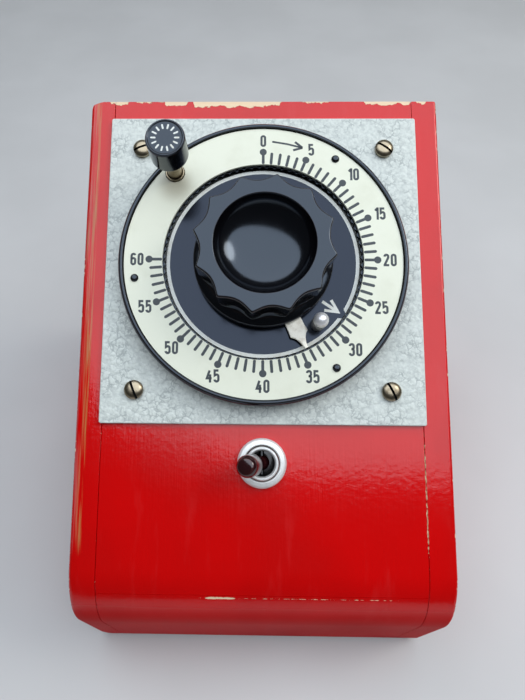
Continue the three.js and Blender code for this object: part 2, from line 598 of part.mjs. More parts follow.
/** The cam that holds the lamp contact closed until its notch comes round at zero. */
function buildContacts(panel) {
  const notchAngle = (-90 - DIAL_REST) * DEG;
  const outline = ring(48, (angle) => {
    const away = Math.abs(Math.atan2(Math.sin(angle - notchAngle), Math.cos(angle - notchAngle)));
    return away < 10 * DEG ? CAM.radius - CAM.notch : CAM.radius;
  });
  const shape = new THREE.Shape(outline);
  shape.holes.push(hole(0, 0, SPINDLE.bore, 20));
  add(panel, 'contact_cam', plate(shape, CAM.low, CAM.thickness), moulded);
  add(panel, 'contact_block', block([14.3, -18.5, -12], [24, -10.5, -7]), moulded);
  add(panel, 'moving_contact', block([-5, -13.2, -11.2], [14, -12.8, -7.6]), springSteel);
  add(panel, 'fixed_contact', block([-5, -16.2, -11.2], [14, -15.8, -7.6]), springSteel);
}

/** A spiral strip, thin beside its pitch, as a flat outline. */
function spiralShape(inner, outer, turns, thickness) {
  const steps = turns * 12;
  const along = (offset) => Array.from({ length: steps + 1 }, (_, i) => {
    const angle = (i / steps) * turns * 2 * Math.PI;
    const radius = inner + ((outer - inner) * i) / steps + offset;
    return new THREE.Vector2(radius * Math.cos(angle), radius * Math.sin(angle));
  });
  return new THREE.Shape([...along(0), ...along(thickness).reverse()]);
}

function movementPlate(low, tabs, holes) {
  const disc = plate(new THREE.Shape(ring(40, () => MOVEMENT.radius)), low, MOVEMENT.thickness);
  const body = tabs.length ? join([disc, ...tabs]) : disc;
  return cut(body, holes.map(([place, radius]) => bar(radius, low - 1, low + 3, 16, place.x, place.y)));
}

function buildMovement(panel) {
  const bearings = [
    [new THREE.Vector2(), SPINDLE.bore],
    [secondPlace, ARBOR.hole],
    [thirdPlace, ARBOR.hole],
  ];
  add(panel, 'movement_front_plate', movementPlate(-MOVEMENT.thickness, [], bearings), brass);
  const backTop = MOVEMENT.backLow + MOVEMENT.thickness;
  const tab = block([28, -6, MOVEMENT.backLow], [buttonPlace.length() + 6, 6, backTop])
    .rotateZ(buttonPlace.angle());
  const backPlate = movementPlate(MOVEMENT.backLow, [tab], [...bearings, [buttonPlace, PLUNGER.rod + GAP]]);
  add(panel, 'movement_back_plate', backPlate, brass);
  const pillar = bar(PILLAR.radius, backTop + GAP, -MOVEMENT.thickness - GAP, 16);
  PILLAR.angles.forEach((angle, i) => {
    const place = polar(angle, PILLAR.ring);
    add(panel, `movement_pillar_${i + 1}`, pillar, brass, place.x, place.y);
  });
  const { radius, wall, low, high } = BARREL;
  const cup = turned([[SPINDLE.bore, low], [radius, low], [radius, high], [radius - wall, high],
    [radius - wall, low + wall], [SPINDLE.bore, low + wall]], 28, true);
  add(panel, 'mainspring_barrel', cup, brass);
  const spiral = plate(spiralShape(4.2, radius - wall - 1, 4, 0.5), low + wall + GAP, high - low - wall - 1);
  add(panel, 'mainspring', spiral, springSteel);
}

// ---------- the toggle switch ----------

function buildToggle(panel) {
  const { y, bush, bore, bushTop, nut, nutTop, pivot, lean, reach } = TOGGLE;
  const nutRing = turned([[bush + GAP, GAP], [nut, GAP], [nut, nutTop - 1], [nut - 1.2, nutTop],
    [bush + GAP, nutTop]], 32, true);
  add(panel, 'toggle_ring_nut', nutRing, aluminium, 0, y);
  const sleeve = turned([[bore, -PANEL_THICKNESS - GAP], [bush, -PANEL_THICKNESS - GAP], [bush, bushTop - 0.4],
    [bush - 0.4, bushTop], [bore, bushTop]], 24, true);
  add(panel, 'toggle_bushing', sleeve, aluminium, 0, y);
  const pin = bar(0.9, -bore + 0.3, bore - 0.3, 12).rotateX(Math.PI / 2);
  add(panel, 'toggle_pivot_pin', pin, steel, 0, y, pivot);
  const bat = turned([[0, -4], [2.4, -2.2], [2.9, 0], [2.15, 3], [2.2, 5.4], [2.8, 8.5], [3.6, reach - 3],
    [3, reach - 0.8], [0, reach]], 16);
  const pinHole = bar(1.2, -5, 5, 14).rotateX(Math.PI / 2);
  const lever = add(panel, 'toggle_lever', cut(bat, [pinHole]), moulded, 0, y, pivot);
  lever.rotation.y = lean * DEG;
  const top = -PANEL_THICKNESS - 2 * GAP;
  const terminals = [-9, 0, 9].map((along) => block([-2.5, along - 0.5, top - 25], [2.5, along + 0.5, top - 17]));
  add(panel, 'toggle_body', join([block([-7, -13.5, top - 18], [7, 13.5, top]), ...terminals]), moulded, 0, y);
}

// ---------- assembly ----------

const timer = new THREE.Group();
const boxGroup = new THREE.Group();
const footprint = CASE_DEPTH + GAP + GLAND.proud;
boxGroup.position.set(0, -footprint / 2, FOOT.height + GAP);
timer.add(boxGroup);
buildCase(boxGroup);
buildCableEntries(boxGroup);

const panel = new THREE.Group();
panel.applyMatrix4(panelFrame);
boxGroup.add(panel);
buildFaceplate(panel);
buildScale(panel);
buildDial(panel);
buildButton(panel);
buildTripLever(panel);
buildTrain(panel);
buildContacts(panel);
buildMovement(panel);
buildToggle(panel);

export default timer;
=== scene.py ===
"""Darkroom enlarger timer: a painted wooden case with a clockwork dial, a start button and a toggle switch.

Sizes in the classes are millimetres, and become metres where a mesh is made. The case frame has X across, Y into
the depth and Z up, with its zero at the foot of the front. The panel frame lies on the wood of the
sloping panel: X across, Y up the slope and Z out of the wood, with its zero on the dial's axis.
"""

import enum
import json
import logging
from dataclasses import dataclass
from typing import Callable

import bmesh
import bpy
import numpy as np
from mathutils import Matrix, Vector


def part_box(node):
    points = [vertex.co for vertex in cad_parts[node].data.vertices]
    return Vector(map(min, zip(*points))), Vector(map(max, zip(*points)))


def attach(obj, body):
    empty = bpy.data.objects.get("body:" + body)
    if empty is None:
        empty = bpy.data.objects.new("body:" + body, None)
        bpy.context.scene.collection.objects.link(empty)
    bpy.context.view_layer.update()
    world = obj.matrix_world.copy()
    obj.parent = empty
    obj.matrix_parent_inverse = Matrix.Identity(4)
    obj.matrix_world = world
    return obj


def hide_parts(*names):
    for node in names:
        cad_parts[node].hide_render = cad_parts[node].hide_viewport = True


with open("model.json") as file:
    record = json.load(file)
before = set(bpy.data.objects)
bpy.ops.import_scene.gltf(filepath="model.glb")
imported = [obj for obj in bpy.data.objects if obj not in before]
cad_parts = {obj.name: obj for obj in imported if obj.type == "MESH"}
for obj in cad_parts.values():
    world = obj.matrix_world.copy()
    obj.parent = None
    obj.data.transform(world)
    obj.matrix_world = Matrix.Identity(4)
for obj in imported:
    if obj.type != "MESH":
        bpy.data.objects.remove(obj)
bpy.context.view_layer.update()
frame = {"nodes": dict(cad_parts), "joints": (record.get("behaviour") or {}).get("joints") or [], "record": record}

Array = np.ndarray
Socket = bpy.types.NodeSocket
Colour = tuple[float, float, float]
Worn = Callable[[Array, Array, Array], Array]

MM = 0.001
# The mesh attribute: edge wear from 0 to 1, and below 0 painted shade that darkens towards near-black.
WEAR_AND_SHADE = "wear"
HINGE_HEIGHT = 5.0  # of the dial's hinge above the wood
BUTTON = (-33.2, 33.7)  # the start button, in the panel frame
TOGGLE_Y = -74.0  # the lamp switch, down the slope
STEM_BORE = 3.75  # round the start button's bush
SCREW_BORE = 1.9  # for the screws of the plate
log = logging.getLogger("enlarger_timer")


class Body(enum.Enum):
    """The moving parts that a piece can ride on."""

    CASE = "case"
    DIAL = "dial"
    PRESET = "preset_stop"
    START = "start_control"
    TOGGLE = "toggle"


class Slot(enum.Enum):
    """The finishes that the record names."""

    RED_PAINT = "red_paint"
    BARE_WOOD = "bare_wood"
    HAMMERED = "hammered_paint"
    BAKELITE = "bakelite"
    SCALE = "scale_enamel"
    NICKEL = "nickel"
    BRASS = "brass"
    STEEL = "steel"
    SPRING = "spring_steel"
    ALUMINIUM = "aluminium"
    IVORY = "ivory"
    RUBBER = "rubber"
    MOULDED = "moulded"


# ---------- frames ----------


@dataclass(frozen=True)
class Place:
    """A right-handed frame: an origin in metres and three unit directions."""

    origin: Array
    across: Array
    up: Array
    out: Array

    def metres(self, points: Array) -> Array:
        """Local millimetres as metres in the row frame."""
        return self.origin + (points @ np.stack([self.across, self.up, self.out])) * MM

    def at(self, x: float, y: float, z: float = 0.0) -> "Place":
        """The same directions round another local point."""
        return Place(self.metres(np.array([x, y, z])), self.across, self.up, self.out)

    def spun(self, degrees: float) -> "Place":
        """Turned anticlockwise about its own outward direction.

        Args:
            degrees: The turn.

        Returns:
            The turned frame.
        """
        c, s = np.cos(np.radians(degrees)), np.sin(np.radians(degrees))
        return Place(self.origin, c * self.across + s * self.up, c * self.up - s * self.across, self.out)

    def leaning(self, degrees: float) -> "Place":
        """Tilted about its own upward direction, so that the outward direction leans across.

        Args:
            degrees: The tilt, positive towards +X.

        Returns:
            The tilted frame.
        """
        c, s = np.cos(np.radians(degrees)), np.sin(np.radians(degrees))
        return Place(self.origin, c * self.across - s * self.out, self.up, c * self.out + s * self.across)


def case_place() -> Place:
    """The case frame, from the corner of the left side board."""
    low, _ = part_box("case_left_side")
    return Place(np.array([0.0, low.y, low.z]), *np.eye(3))


def panel_place() -> Place:
    """The panel frame, from the dial's hinge, which stands a little out of the wood."""
    hinge = next(j for j in frame["joints"] if j["name"] == "dial_turn")
    out = np.array(hinge["axis"], float)
    out /= np.linalg.norm(out)
    across = np.array([1.0, 0.0, 0.0])
    return Place(np.array(hinge["pos_m"], float) - HINGE_HEIGHT * MM * out, across, np.cross(out, across), out)


# ---------- surfaces ----------


def on_clock(clock: float, radius: float) -> tuple[float, float]:
    """The point at an angle clockwise from the top, in degrees, and a radius."""
    angle = np.radians(clock)
    return float(radius * np.sin(angle)), float(radius * np.cos(angle))


def softened(points: Array | list, reach: float | list = 0.3, steps: int = 4, closed: bool = False) -> Array:
    """Rounds the corners of a profile.

    At each corner P the line follows (1-t)^2 A + 2t(1-t) P + t^2 C, where A and C lie on its two sides at the
    given reach. One more point on each side keeps the flats flat. The third column is the wear: 0 on a flat and
    rising to 1 at the middle of a corner.

    Args:
        points: Corners in order, one row each.
        reach: How far the rounding starts from the corner, one value or one for each corner.
        steps: Straight pieces in each corner.
        closed: Whether the last corner joins the first.

    Returns:
        Rows of two coordinates and the wear.
    """
    points = np.asarray(points, float)
    before, after = np.roll(points, 1, 0) - points, np.roll(points, -1, 0) - points
    size_before = np.linalg.norm(before, axis=1, keepdims=True)
    size_after = np.linalg.norm(after, axis=1, keepdims=True)
    wanted = np.broadcast_to(np.asarray(reach, float), len(points))[:, None]
    used = np.minimum(wanted, 0.36 * np.minimum(size_before, size_after))
    start, end = points + before / size_before * used, points + after / size_after * used
    t = np.linspace(0, 1, steps + 1)[None, :, None]
    bend = (1 - t) ** 2 * start[:, None] + 2 * t * (1 - t) * points[:, None] + t**2 * end[:, None]
    enter = (points + before / size_before * used * 1.35)[:, None]
    leave = (points + after / size_after * used * 1.35)[:, None]
    line = np.concatenate([enter, bend, leave], 1)
    wear = np.concatenate([[0.0], np.sin(np.pi * np.linspace(0, 1, steps + 1)), [0.0]])
    rows = np.concatenate([line, np.broadcast_to(wear[None, :, None], (*line.shape[:2], 1))], 2)
    if closed:
        return rows.reshape(-1, 3)
    first, last = np.append(points[0], 0.0)[None], np.append(points[-1], 0.0)[None]
    return np.concatenate([first, rows[1:-1].reshape(-1, 3), last])


def outward(outline: Array) -> Array:
    """The mitred outward direction at each corner of a closed outline that runs anticlockwise.

    Args:
        outline: Corners in order, one row each.

    Returns:
        One direction for each corner, long enough to move both of its sides out by one unit.
    """
    side = np.roll(outline, -1, 0) - outline
    normal = np.stack([side[:, 1], -side[:, 0]], 1) / np.linalg.norm(side, axis=1, keepdims=True)
    both = normal + np.roll(normal, 1, 0)
    return both / np.maximum((both**2).sum(1, keepdims=True) / 2, 0.35)


def turned(profile: Array, segments: int, worn: Worn | None = None) -> tuple[Array, Array]:
    """A profile carried round the Z axis: the point (r, z) goes to (r cos a, r sin a, z).

    Args:
        profile: Rows of radius, height and wear.
        segments: Steps round the axis.
        worn: Gives the radius at each (radius, height, angle), where it isn't the same all round.

    Returns:
        The grid of points and the grid of wear.
    """
    angle = np.linspace(0, 2 * np.pi, segments, endpoint=False)[None]
    radius = profile[:, :1] + 0 * angle
    height = profile[:, 1:2] + 0 * angle
    if worn:
        radius = worn(radius, height, angle)
    grid = np.stack([radius * np.cos(angle), radius * np.sin(angle), height], -1)
    return grid, profile[:, 2:3] + 0 * angle


def strip(path: Array, width: float, low: float, high: float, closed: bool = False) -> Array:
    """A flat bar carried along a path: each point is shifted half the width to its left and right.

    Args:
        path: Points in the plane, one row each.
        width: Width of the bar.
        low: Height of its underside.
        high: Height of its top.
        closed: Whether the path's end joins its start.

    Returns:
        The grid, four points for each point of the path.
    """
    ahead, behind = np.roll(path, -1, 0), np.roll(path, 1, 0)
    if not closed:
        ahead[-1], behind[0] = path[-1], path[0]
    first, second = ahead - path, path - behind
    if not closed:
        first[-1], second[0] = second[-1], first[0]
    first /= np.linalg.norm(first, axis=1, keepdims=True)
    second /= np.linalg.norm(second, axis=1, keepdims=True)
    both = first + second
    both /= np.maximum((both**2).sum(1, keepdims=True) / 2, 0.5)
    left = np.stack([-both[:, 1], both[:, 0]], 1) * width / 2
    corners = [(path + left, low), (path + left, high), (path - left, high), (path - left, low)]
    return np.stack([np.column_stack([flat, np.full(len(path), z)]) for flat, z in corners], 1)


class Shell:
    """A mesh being put together from grids and caps, in millimetres of one local frame."""

    def __init__(self) -> None:
        """Starts with nothing."""
        self.points: list[Array] = []
        self.wear: list[Array] = []
        self.faces: list[list[int]] = []
        self.count = 0

    def grid(self, points: Array, wear: Array | None = None, rows: bool = False, columns: bool = True,
             caps: bool = False) -> "Shell":
        """Adds a grid of points as four-sided faces.

        Args:
            points: Rows by columns by three.
            wear: The wear at each point, below 0 where shade is painted, or none.
            rows: Whether the last row joins the first.
            columns: Whether the last column joins the first.
            caps: Whether the first and last rows are closed with one face each.

        Returns:
            The shell itself.
        """
        tall, wide = points.shape[:2]
        index = np.arange(tall * wide).reshape(tall, wide) + self.count
        if caps:
            self.faces += [index[0].tolist(), index[-1][::-1].tolist()]
        if rows:
            index = np.vstack([index, index[:1]])
        if columns:
            index = np.hstack([index, index[:, :1]])
        quads = np.stack([index[:-1, :-1], index[:-1, 1:], index[1:, 1:], index[1:, :-1]], -1)
        self.faces += quads.reshape(-1, 4).tolist()
        self.points.append(points.reshape(-1, 3))
        self.wear.append(np.zeros(tall * wide) if wear is None else np.broadcast_to(wear, (tall, wide)).ravel())
        self.count += tall * wide
        return self

    def lathe(self, profile: Array, segments: int = 96, worn: Worn | None = None, closed: bool = False) -> "Shell":
        """Adds a turned profile.

        Args:
            profile: Rows of radius, height and wear.
            segments: Steps round the axis.
            worn: Gives the radius where it changes round the axis.
            closed: Whether the profile is a closed ring, and not a line from axis to axis.

        Returns:
            The shell itself.
        """
        grid, wear = turned(profile, segments, worn)
        return self.grid(grid, wear, rows=closed)

    def prism(self, outline: Array, low: float, high: float, soft: float = 0.0) -> "Shell":
        """Adds a flat outline with a thickness and an optional rounded upper edge.

        Args:
            outline: Corners in order, anticlockwise.
            low: Height of its underside.
            high: Height of its top.
            soft: How far the upper edge is rounded.

        Returns:
            The shell itself.
        """
        away = outward(outline)
        turn = np.linspace(0, np.pi / 2, 5) if soft else np.zeros(1)
        inset = np.concatenate([[0.0], soft * (1 - np.cos(turn)), [soft * 1.3] if soft else []])
        height = np.concatenate([[low], high - soft * (1 - np.sin(turn)), [high] if soft else []])
        wear = np.concatenate([[0.0], np.sin(2 * turn) if soft else [0.0], [0.0] if soft else []])
        flat = outline[None] - inset[:, None, None] * away[None]
        grid = np.concatenate([flat, np.broadcast_to(height[:, None, None], (*flat.shape[:2], 1))], 2)
        return self.grid(grid, wear[:, None], caps=True)

    def mesh(self, name: str, place: Place) -> bpy.types.Mesh:
        """The finished mesh in metres, with doubles merged and faces outwards.

        Args:
            name: Name of the mesh.
            place: The local frame.

        Returns:
            The mesh.
        """
        made = bpy.data.meshes.new(name)
        made.from_pydata(place.metres(np.concatenate(self.points)), [], self.faces)
        wear = made.attributes.new(WEAR_AND_SHADE, "FLOAT", "POINT")
        wear.data.foreach_set("value", np.concatenate(self.wear).astype(np.float32))
        work = bmesh.new()
        work.from_mesh(made)
        bmesh.ops.remove_doubles(work, verts=work.verts, dist=2e-6)
        bmesh.ops.dissolve_degenerate(work, edges=work.edges, dist=1e-7)
        bmesh.ops.recalc_face_normals(work, faces=work.faces)
        work.to_mesh(made)
        work.free()
        return made


def bored(mesh: bpy.types.Mesh, cutters: list[bpy.types.Mesh]) -> bpy.types.Mesh:
    """Cuts round openings out of a closed mesh.

    Args:
        mesh: The closed mesh.
        cutters: Closed meshes of what is taken away.

    Returns:
        A new mesh with the openings.
    """
    scene = bpy.context.scene
    blank = bpy.data.objects.new("blank", mesh)
    scene.collection.objects.link(blank)
    tools = []
    for cutter in cutters:
        tool = bpy.data.objects.new("cutter", cutter)
        scene.collection.objects.link(tool)
        cut = blank.modifiers.new("bore", "BOOLEAN")
        cut.operation, cut.solver, cut.object = "DIFFERENCE", "EXACT", tool
        tools.append(tool)
    result = bpy.data.meshes.new_from_object(blank.evaluated_get(bpy.context.evaluated_depsgraph_get()))
    for leftover in (blank, *tools):
        bpy.data.objects.remove(leftover)
    return result


def rod(place: Place, radius: float, low: float, high: float, segments: int = 64) -> bpy.types.Mesh:
    """A plain round rod along a frame's outward direction, as a cutter.

    Args:
        place: The frame.
        radius: Radius of the rod.
        low: Where it starts.
        high: Where it ends.
        segments: Steps round it.

    Returns:
        The closed mesh.
    """
    angle = np.linspace(0, 2 * np.pi, segments, endpoint=False)
    outline = np.stack([radius * np.cos(angle), radius * np.sin(angle)], 1)
    return Shell().prism(outline, low, high).mesh("cutter", place)


class Shop:
    """Hands finished meshes to the scene, dresses them and reports them."""

    def __init__(self, materials: dict[Slot, bpy.types.Material]) -> None:
        """Keeps the finished materials by slot."""
        self.materials = materials

    def piece(self, name: str, mesh: bpy.types.Mesh, slot: Slot, body: Body, *nodes: str,
              material: bpy.types.Material | None = None, crease: float = 38.0) -> bpy.types.Object:
        """Puts a piece into the scene.

        Args:
            name: Name of the piece.
            mesh: Its mesh, in place.
            slot: The record's finish.
            body: What it rides on.
            nodes: The plain nodes that it stands for.
            material: A material of its own, where the slot's isn't used.
            crease: Angle between faces, in degrees, above which an edge stays sharp.

        Returns:
            The object.
        """
        mesh.shade_smooth()
        mesh.set_sharp_from_angle(angle=np.radians(crease))
        made = bpy.data.objects.new(name, mesh)
        bpy.context.scene.collection.objects.link(made)
        mesh.materials.clear()
        mesh.materials.append(material or self.materials[slot])
        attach(made, body.value)
        if nodes:
            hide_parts(*nodes)
        log.info("%s: %d faces on %s", name, len(mesh.polygons), body.value)
        return made


# ---------- wiring ----------


class Wiring:
    """Short calls for building a tree of shader nodes."""

    def __init__(self, tree: bpy.types.NodeTree) -> None:
        """Works on one tree."""
        self.tree = tree

    def feed(self, socket: Socket, value: object) -> None:
        """Links an output to the socket, or sets the socket's own value."""
        if isinstance(value, bpy.types.NodeSocket):
            self.tree.links.new(value, socket)
        elif isinstance(value, tuple) and len(value) == 3 and socket.type == "RGBA":
            socket.default_value = (*value, 1.0)
        else:
            socket.default_value = value

    def node(self, kind: str, inputs: dict | None = None, **settings: object) -> bpy.types.Node:
        """Adds a node.

        Args:
            kind: Name of the node type.
            inputs: Values or outputs by socket name or number.
            settings: Properties of the node.

        Returns:
            The node.
        """
        made = self.tree.nodes.new(kind)
        for key, value in settings.items():
            setattr(made, key, value)
        for key, value in (inputs or {}).items():
            self.feed(made.inputs[key], value)
        return made

    def math(self, operation: str, a: object, b: object = 0.0, clamp: bool = False) -> Socket:
        """The result of a calculation with two values."""
        return self.node("ShaderNodeMath", {0: a, 1: b}, operation=operation, use_clamp=clamp).outputs[0]

    def plus(self, a: object, b: object, clamp: bool = False) -> Socket:
        """The sum of two values."""
        return self.math("ADD", a, b, clamp)

    def minus(self, a: object, b: object) -> Socket:
        """The first value less the second."""
        return self.math("SUBTRACT", a, b)

    def times(self, a: object, b: object, clamp: bool = False) -> Socket:
        """The product of two values."""
        return self.math("MULTIPLY", a, b, clamp)

    def apart(self, a: object, b: object) -> Socket:
        """The distance between two values."""
        return self.math("ABSOLUTE", self.minus(a, b))

    def along(self, vector: Socket, place: Place, direction: Array) -> Socket:
        """How far a point in millimetres lies from a frame's zero along a direction."""
        return self.minus(self.dot(vector, direction), float(place.origin @ direction) / MM)

    def group(self, tree: bpy.types.NodeTree, **inputs: object) -> bpy.types.Node:
        """Places a shared group with its own values."""
        return self.node("ShaderNodeGroup", inputs, node_tree=tree)

    def dot(self, vector: Socket, direction: tuple | Array) -> Socket:
        """The length of a vector along a direction."""
        inputs = {0: vector, 1: tuple(float(x) for x in direction)}
        return self.node("ShaderNodeVectorMath", inputs, operation="DOT_PRODUCT").outputs["Value"]

    def mixed(self, factor: object, a: object, b: object) -> Socket:
        """A colour between two, by a factor from 0 to 1."""
        return self.node("ShaderNodeMix", {0: factor, 6: a, 7: b}, data_type="RGBA").outputs[2]

    def between(self, value: object, low: object, high: object, to_low: float = 0.0, to_high: float = 1.0) -> Socket:
        """A smooth step from one value to another as the input crosses a range."""
        inputs = {0: value, 1: low, 2: high, 3: to_low, 4: to_high}
        return self.node("ShaderNodeMapRange", inputs, interpolation_type="SMOOTHSTEP").outputs[0]

    def noise(self, vector: Socket, scale: object, detail: float = 3.0, rough: float = 0.5) -> Socket:
        """Cloudy noise with a mean of one half."""
        inputs = {"Vector": vector, "Scale": scale, "Detail": detail, "Roughness": rough}
        return self.node("ShaderNodeTexNoise", inputs).outputs[0]

    def noise_vector(self, vector: Socket, scale: float) -> Socket:
        """A cloudy vector, for stirring a pattern."""
        return self.node("ShaderNodeTexNoise", {"Vector": vector, "Scale": scale, "Detail": 2.0}).outputs[1]

    def scaled(self, vector: Socket, x: float, y: float, z: float, turn: tuple = (0.0, 0.0, 0.0),
               shift: tuple = (0.0, 0.0, 0.0)) -> Socket:
        """A vector moved, turned and stretched."""
        inputs = {"Vector": vector, "Scale": (x, y, z), "Rotation": turn, "Location": shift}
        return self.node("ShaderNodeMapping", inputs).outputs[0]

    def millimetres(self) -> Socket:
        """The place on the piece in millimetres of the row frame."""
        place = self.node("ShaderNodeTexCoord").outputs["Object"]
        return self.node("ShaderNodeVectorMath", {0: place, "Scale": 1000.0}, operation="SCALE").outputs[0]

    def wear(self) -> Socket:
        """The wear worked out with the mesh: 1 at the middle of a rounded edge, below 0 where shade is painted."""
        return self.node("ShaderNodeAttribute", attribute_name=WEAR_AND_SHADE).outputs["Fac"]

    def bump(self, height: Socket, depth: float) -> Socket:
        """A normal that follows a height, with its depth in millimetres."""
        inputs = {"Height": height, "Distance": depth * MM, "Strength": 1.0}
        return self.node("ShaderNodeBump", inputs).outputs[0]


def shader_group(name: str, inputs: dict[str, float | None], outputs: list[str],
                 wire: Callable[[Wiring, dict[str, Socket]], dict[str, Socket]]) -> bpy.types.NodeTree:
    """Builds a node group with named sockets.

    Args:
        name: Name of the group.
        inputs: Default of each number input; None marks a vector.
        outputs: Names of the number outputs.
        wire: Builds the inside from the input sockets, and returns the outputs by name.

    Returns:
        The group.
    """
    tree = bpy.data.node_groups.new(name, "ShaderNodeTree")
    for key, value in inputs.items():
        kind = "NodeSocketVector" if value is None else "NodeSocketFloat"
        socket = tree.interface.new_socket(key, in_out="INPUT", socket_type=kind)
        if value is not None:
            socket.default_value = value
    for key in outputs:
        tree.interface.new_socket(key, in_out="OUTPUT", socket_type="NodeSocketFloat")
    work = Wiring(tree)
    source, sink = work.node("NodeGroupInput"), work.node("NodeGroupOutput")
    for key, value in wire(work, {key: source.outputs[key] for key in inputs}).items():
        work.feed(sink.inputs[key], value)
    return tree


class Effects:
    """The surface effects that several finishes share, each built once."""

    def __init__(self) -> None:
        """Builds the groups."""
        edge = {"Vector": None, "Distance": 0.0, "Reach": 1.0, "Size": 1.0, "Bias": 0.0}
        bristle = {"Vector": None, "Across": 2.0, "Along": 0.05}
        self.chips = shader_group("edge_chips", edge, ["Mask", "Rim"], self._chips)
        self.streaks = shader_group("brush_streaks", bristle, ["Height", "Bands"], self._streaks)
        self.hammer = shader_group("hammer_pattern", {"Vector": None, "Cell": 1.3}, ["Height", "Veins"], self._hammer)
        film = {"Vector": None, "Size": 8.0, "Amount": 0.5}
        self.grime = shader_group("grime_film", film, ["Mask", "Specks"], self._grime)
        self.scratches = shader_group("fine_scratches", {"Vector": None, "Size": 1.0}, ["Height"], self._scratches)
        self.grain = shader_group("wood_grain", {"Vector": None, "Pitch": 2.0}, ["Tone", "Pores"], self._grain)

    @staticmethod
    def _chips(w: Wiring, i: dict[str, Socket]) -> dict[str, Socket]:
        """Noise plus bias, less the distance from the edge as a share of the reach, cut at two levels."""
        frequency = w.math("DIVIDE", 1.0, i["Size"])
        raw = w.plus(w.noise(i["Vector"], frequency, 4.0, 0.6), i["Bias"])
        level = w.minus(raw, w.math("DIVIDE", i["Distance"], i["Reach"]))
        return {"Mask": w.between(level, 0.52, 0.545), "Rim": w.between(level, 0.47, 0.52)}

    @staticmethod
    def _streaks(w: Wiring, i: dict[str, Socket]) -> dict[str, Socket]:
        """Noise squeezed across and drawn out along the slope and the height: fine bristle marks and wider bands."""
        scale = w.node("ShaderNodeCombineXYZ", {0: i["Across"], 1: i["Along"], 2: i["Along"]}).outputs[0]
        drawn = w.node("ShaderNodeVectorMath", {0: i["Vector"], 1: scale}, operation="MULTIPLY").outputs[0]
        bands = w.noise(w.scaled(drawn, 0.13, 0.6, 0.6), 1.0, 3.0, 0.6)
        return {"Height": w.noise(drawn, 1.0, 3.0, 0.55), "Bands": bands}

    @staticmethod
    def _hammer(w: Wiring, i: dict[str, Socket]) -> dict[str, Socket]:
        """Round-topped cells: the height falls away from each cell's middle, and veins run between them."""
        frequency = w.math("DIVIDE", 1.0, i["Cell"])
        stir = {0: w.noise_vector(i["Vector"], 0.55), "Scale": 3.2}
        stirred = w.node("ShaderNodeVectorMath", stir, operation="SCALE").outputs[0]
        warped = w.node("ShaderNodeVectorMath", {0: i["Vector"], 1: stirred}, operation="ADD").outputs[0]
        cells = {"Vector": warped, "Scale": frequency, "Randomness": 0.9}
        cell = w.node("ShaderNodeTexVoronoi", {**cells, "Smoothness": 0.6}, feature="SMOOTH_F1").outputs["Distance"]
        edge = w.node("ShaderNodeTexVoronoi", cells, feature="DISTANCE_TO_EDGE").outputs["Distance"]
        broken = w.between(w.noise(i["Vector"], 0.16, 2.0), 0.36, 0.62)
        return {"Height": w.between(cell, 0.75, 0.05), "Veins": w.times(w.between(edge, 0.11, 0.0), broken)}

    @staticmethod
    def _grime(w: Wiring, i: dict[str, Socket]) -> dict[str, Socket]:
        """Cloudy patches, and small specks where a finer noise is at its highest."""
        frequency = w.math("DIVIDE", 1.0, i["Size"])
        cloud = w.noise(i["Vector"], frequency, 5.0, 0.62)
        patch = w.times(w.between(cloud, 0.45, 0.75), i["Amount"])
        return {"Mask": patch, "Specks": w.between(w.noise(i["Vector"], 3.1, 1.0), 0.77, 0.82)}

    @staticmethod
    def _scratches(w: Wiring, i: dict[str, Socket]) -> dict[str, Socket]:
        """Two crossing sets of noise drawn out to one side."""
        frequency = w.math("DIVIDE", 1.0, i["Size"])
        first = w.noise(w.scaled(i["Vector"], 0.3, 6.0, 6.0, (0.0, 0.0, 0.5)), frequency, 2.0)
        second = w.noise(w.scaled(i["Vector"], 7.0, 0.4, 0.4, (0.3, 0.0, 0.2)), frequency, 2.0)
        return {"Height": w.plus(w.times(first, 0.5), w.times(second, 0.5))}

    @staticmethod
    def _grain(w: Wiring, i: dict[str, Socket]) -> dict[str, Socket]:
        """Year rings drawn out along X, and short dark pores."""
        frequency = w.math("DIVIDE", 1.0, i["Pitch"])
        drawn = w.scaled(i["Vector"], 0.06, 1.0, 1.0)
        tone = w.node("ShaderNodeTexWave", {"Vector": drawn, "Scale": frequency, "Distortion": 5.0, "Detail": 3.0,
                                            "Detail Scale": 0.6}, bands_direction="Y").outputs["Fac"]
        pores = w.noise(w.scaled(i["Vector"], 0.5, 7.0, 7.0), frequency, 2.0, 0.7)
        return {"Tone": tone, "Pores": w.between(pores, 0.6, 0.75)}


# ---------- finishes ----------


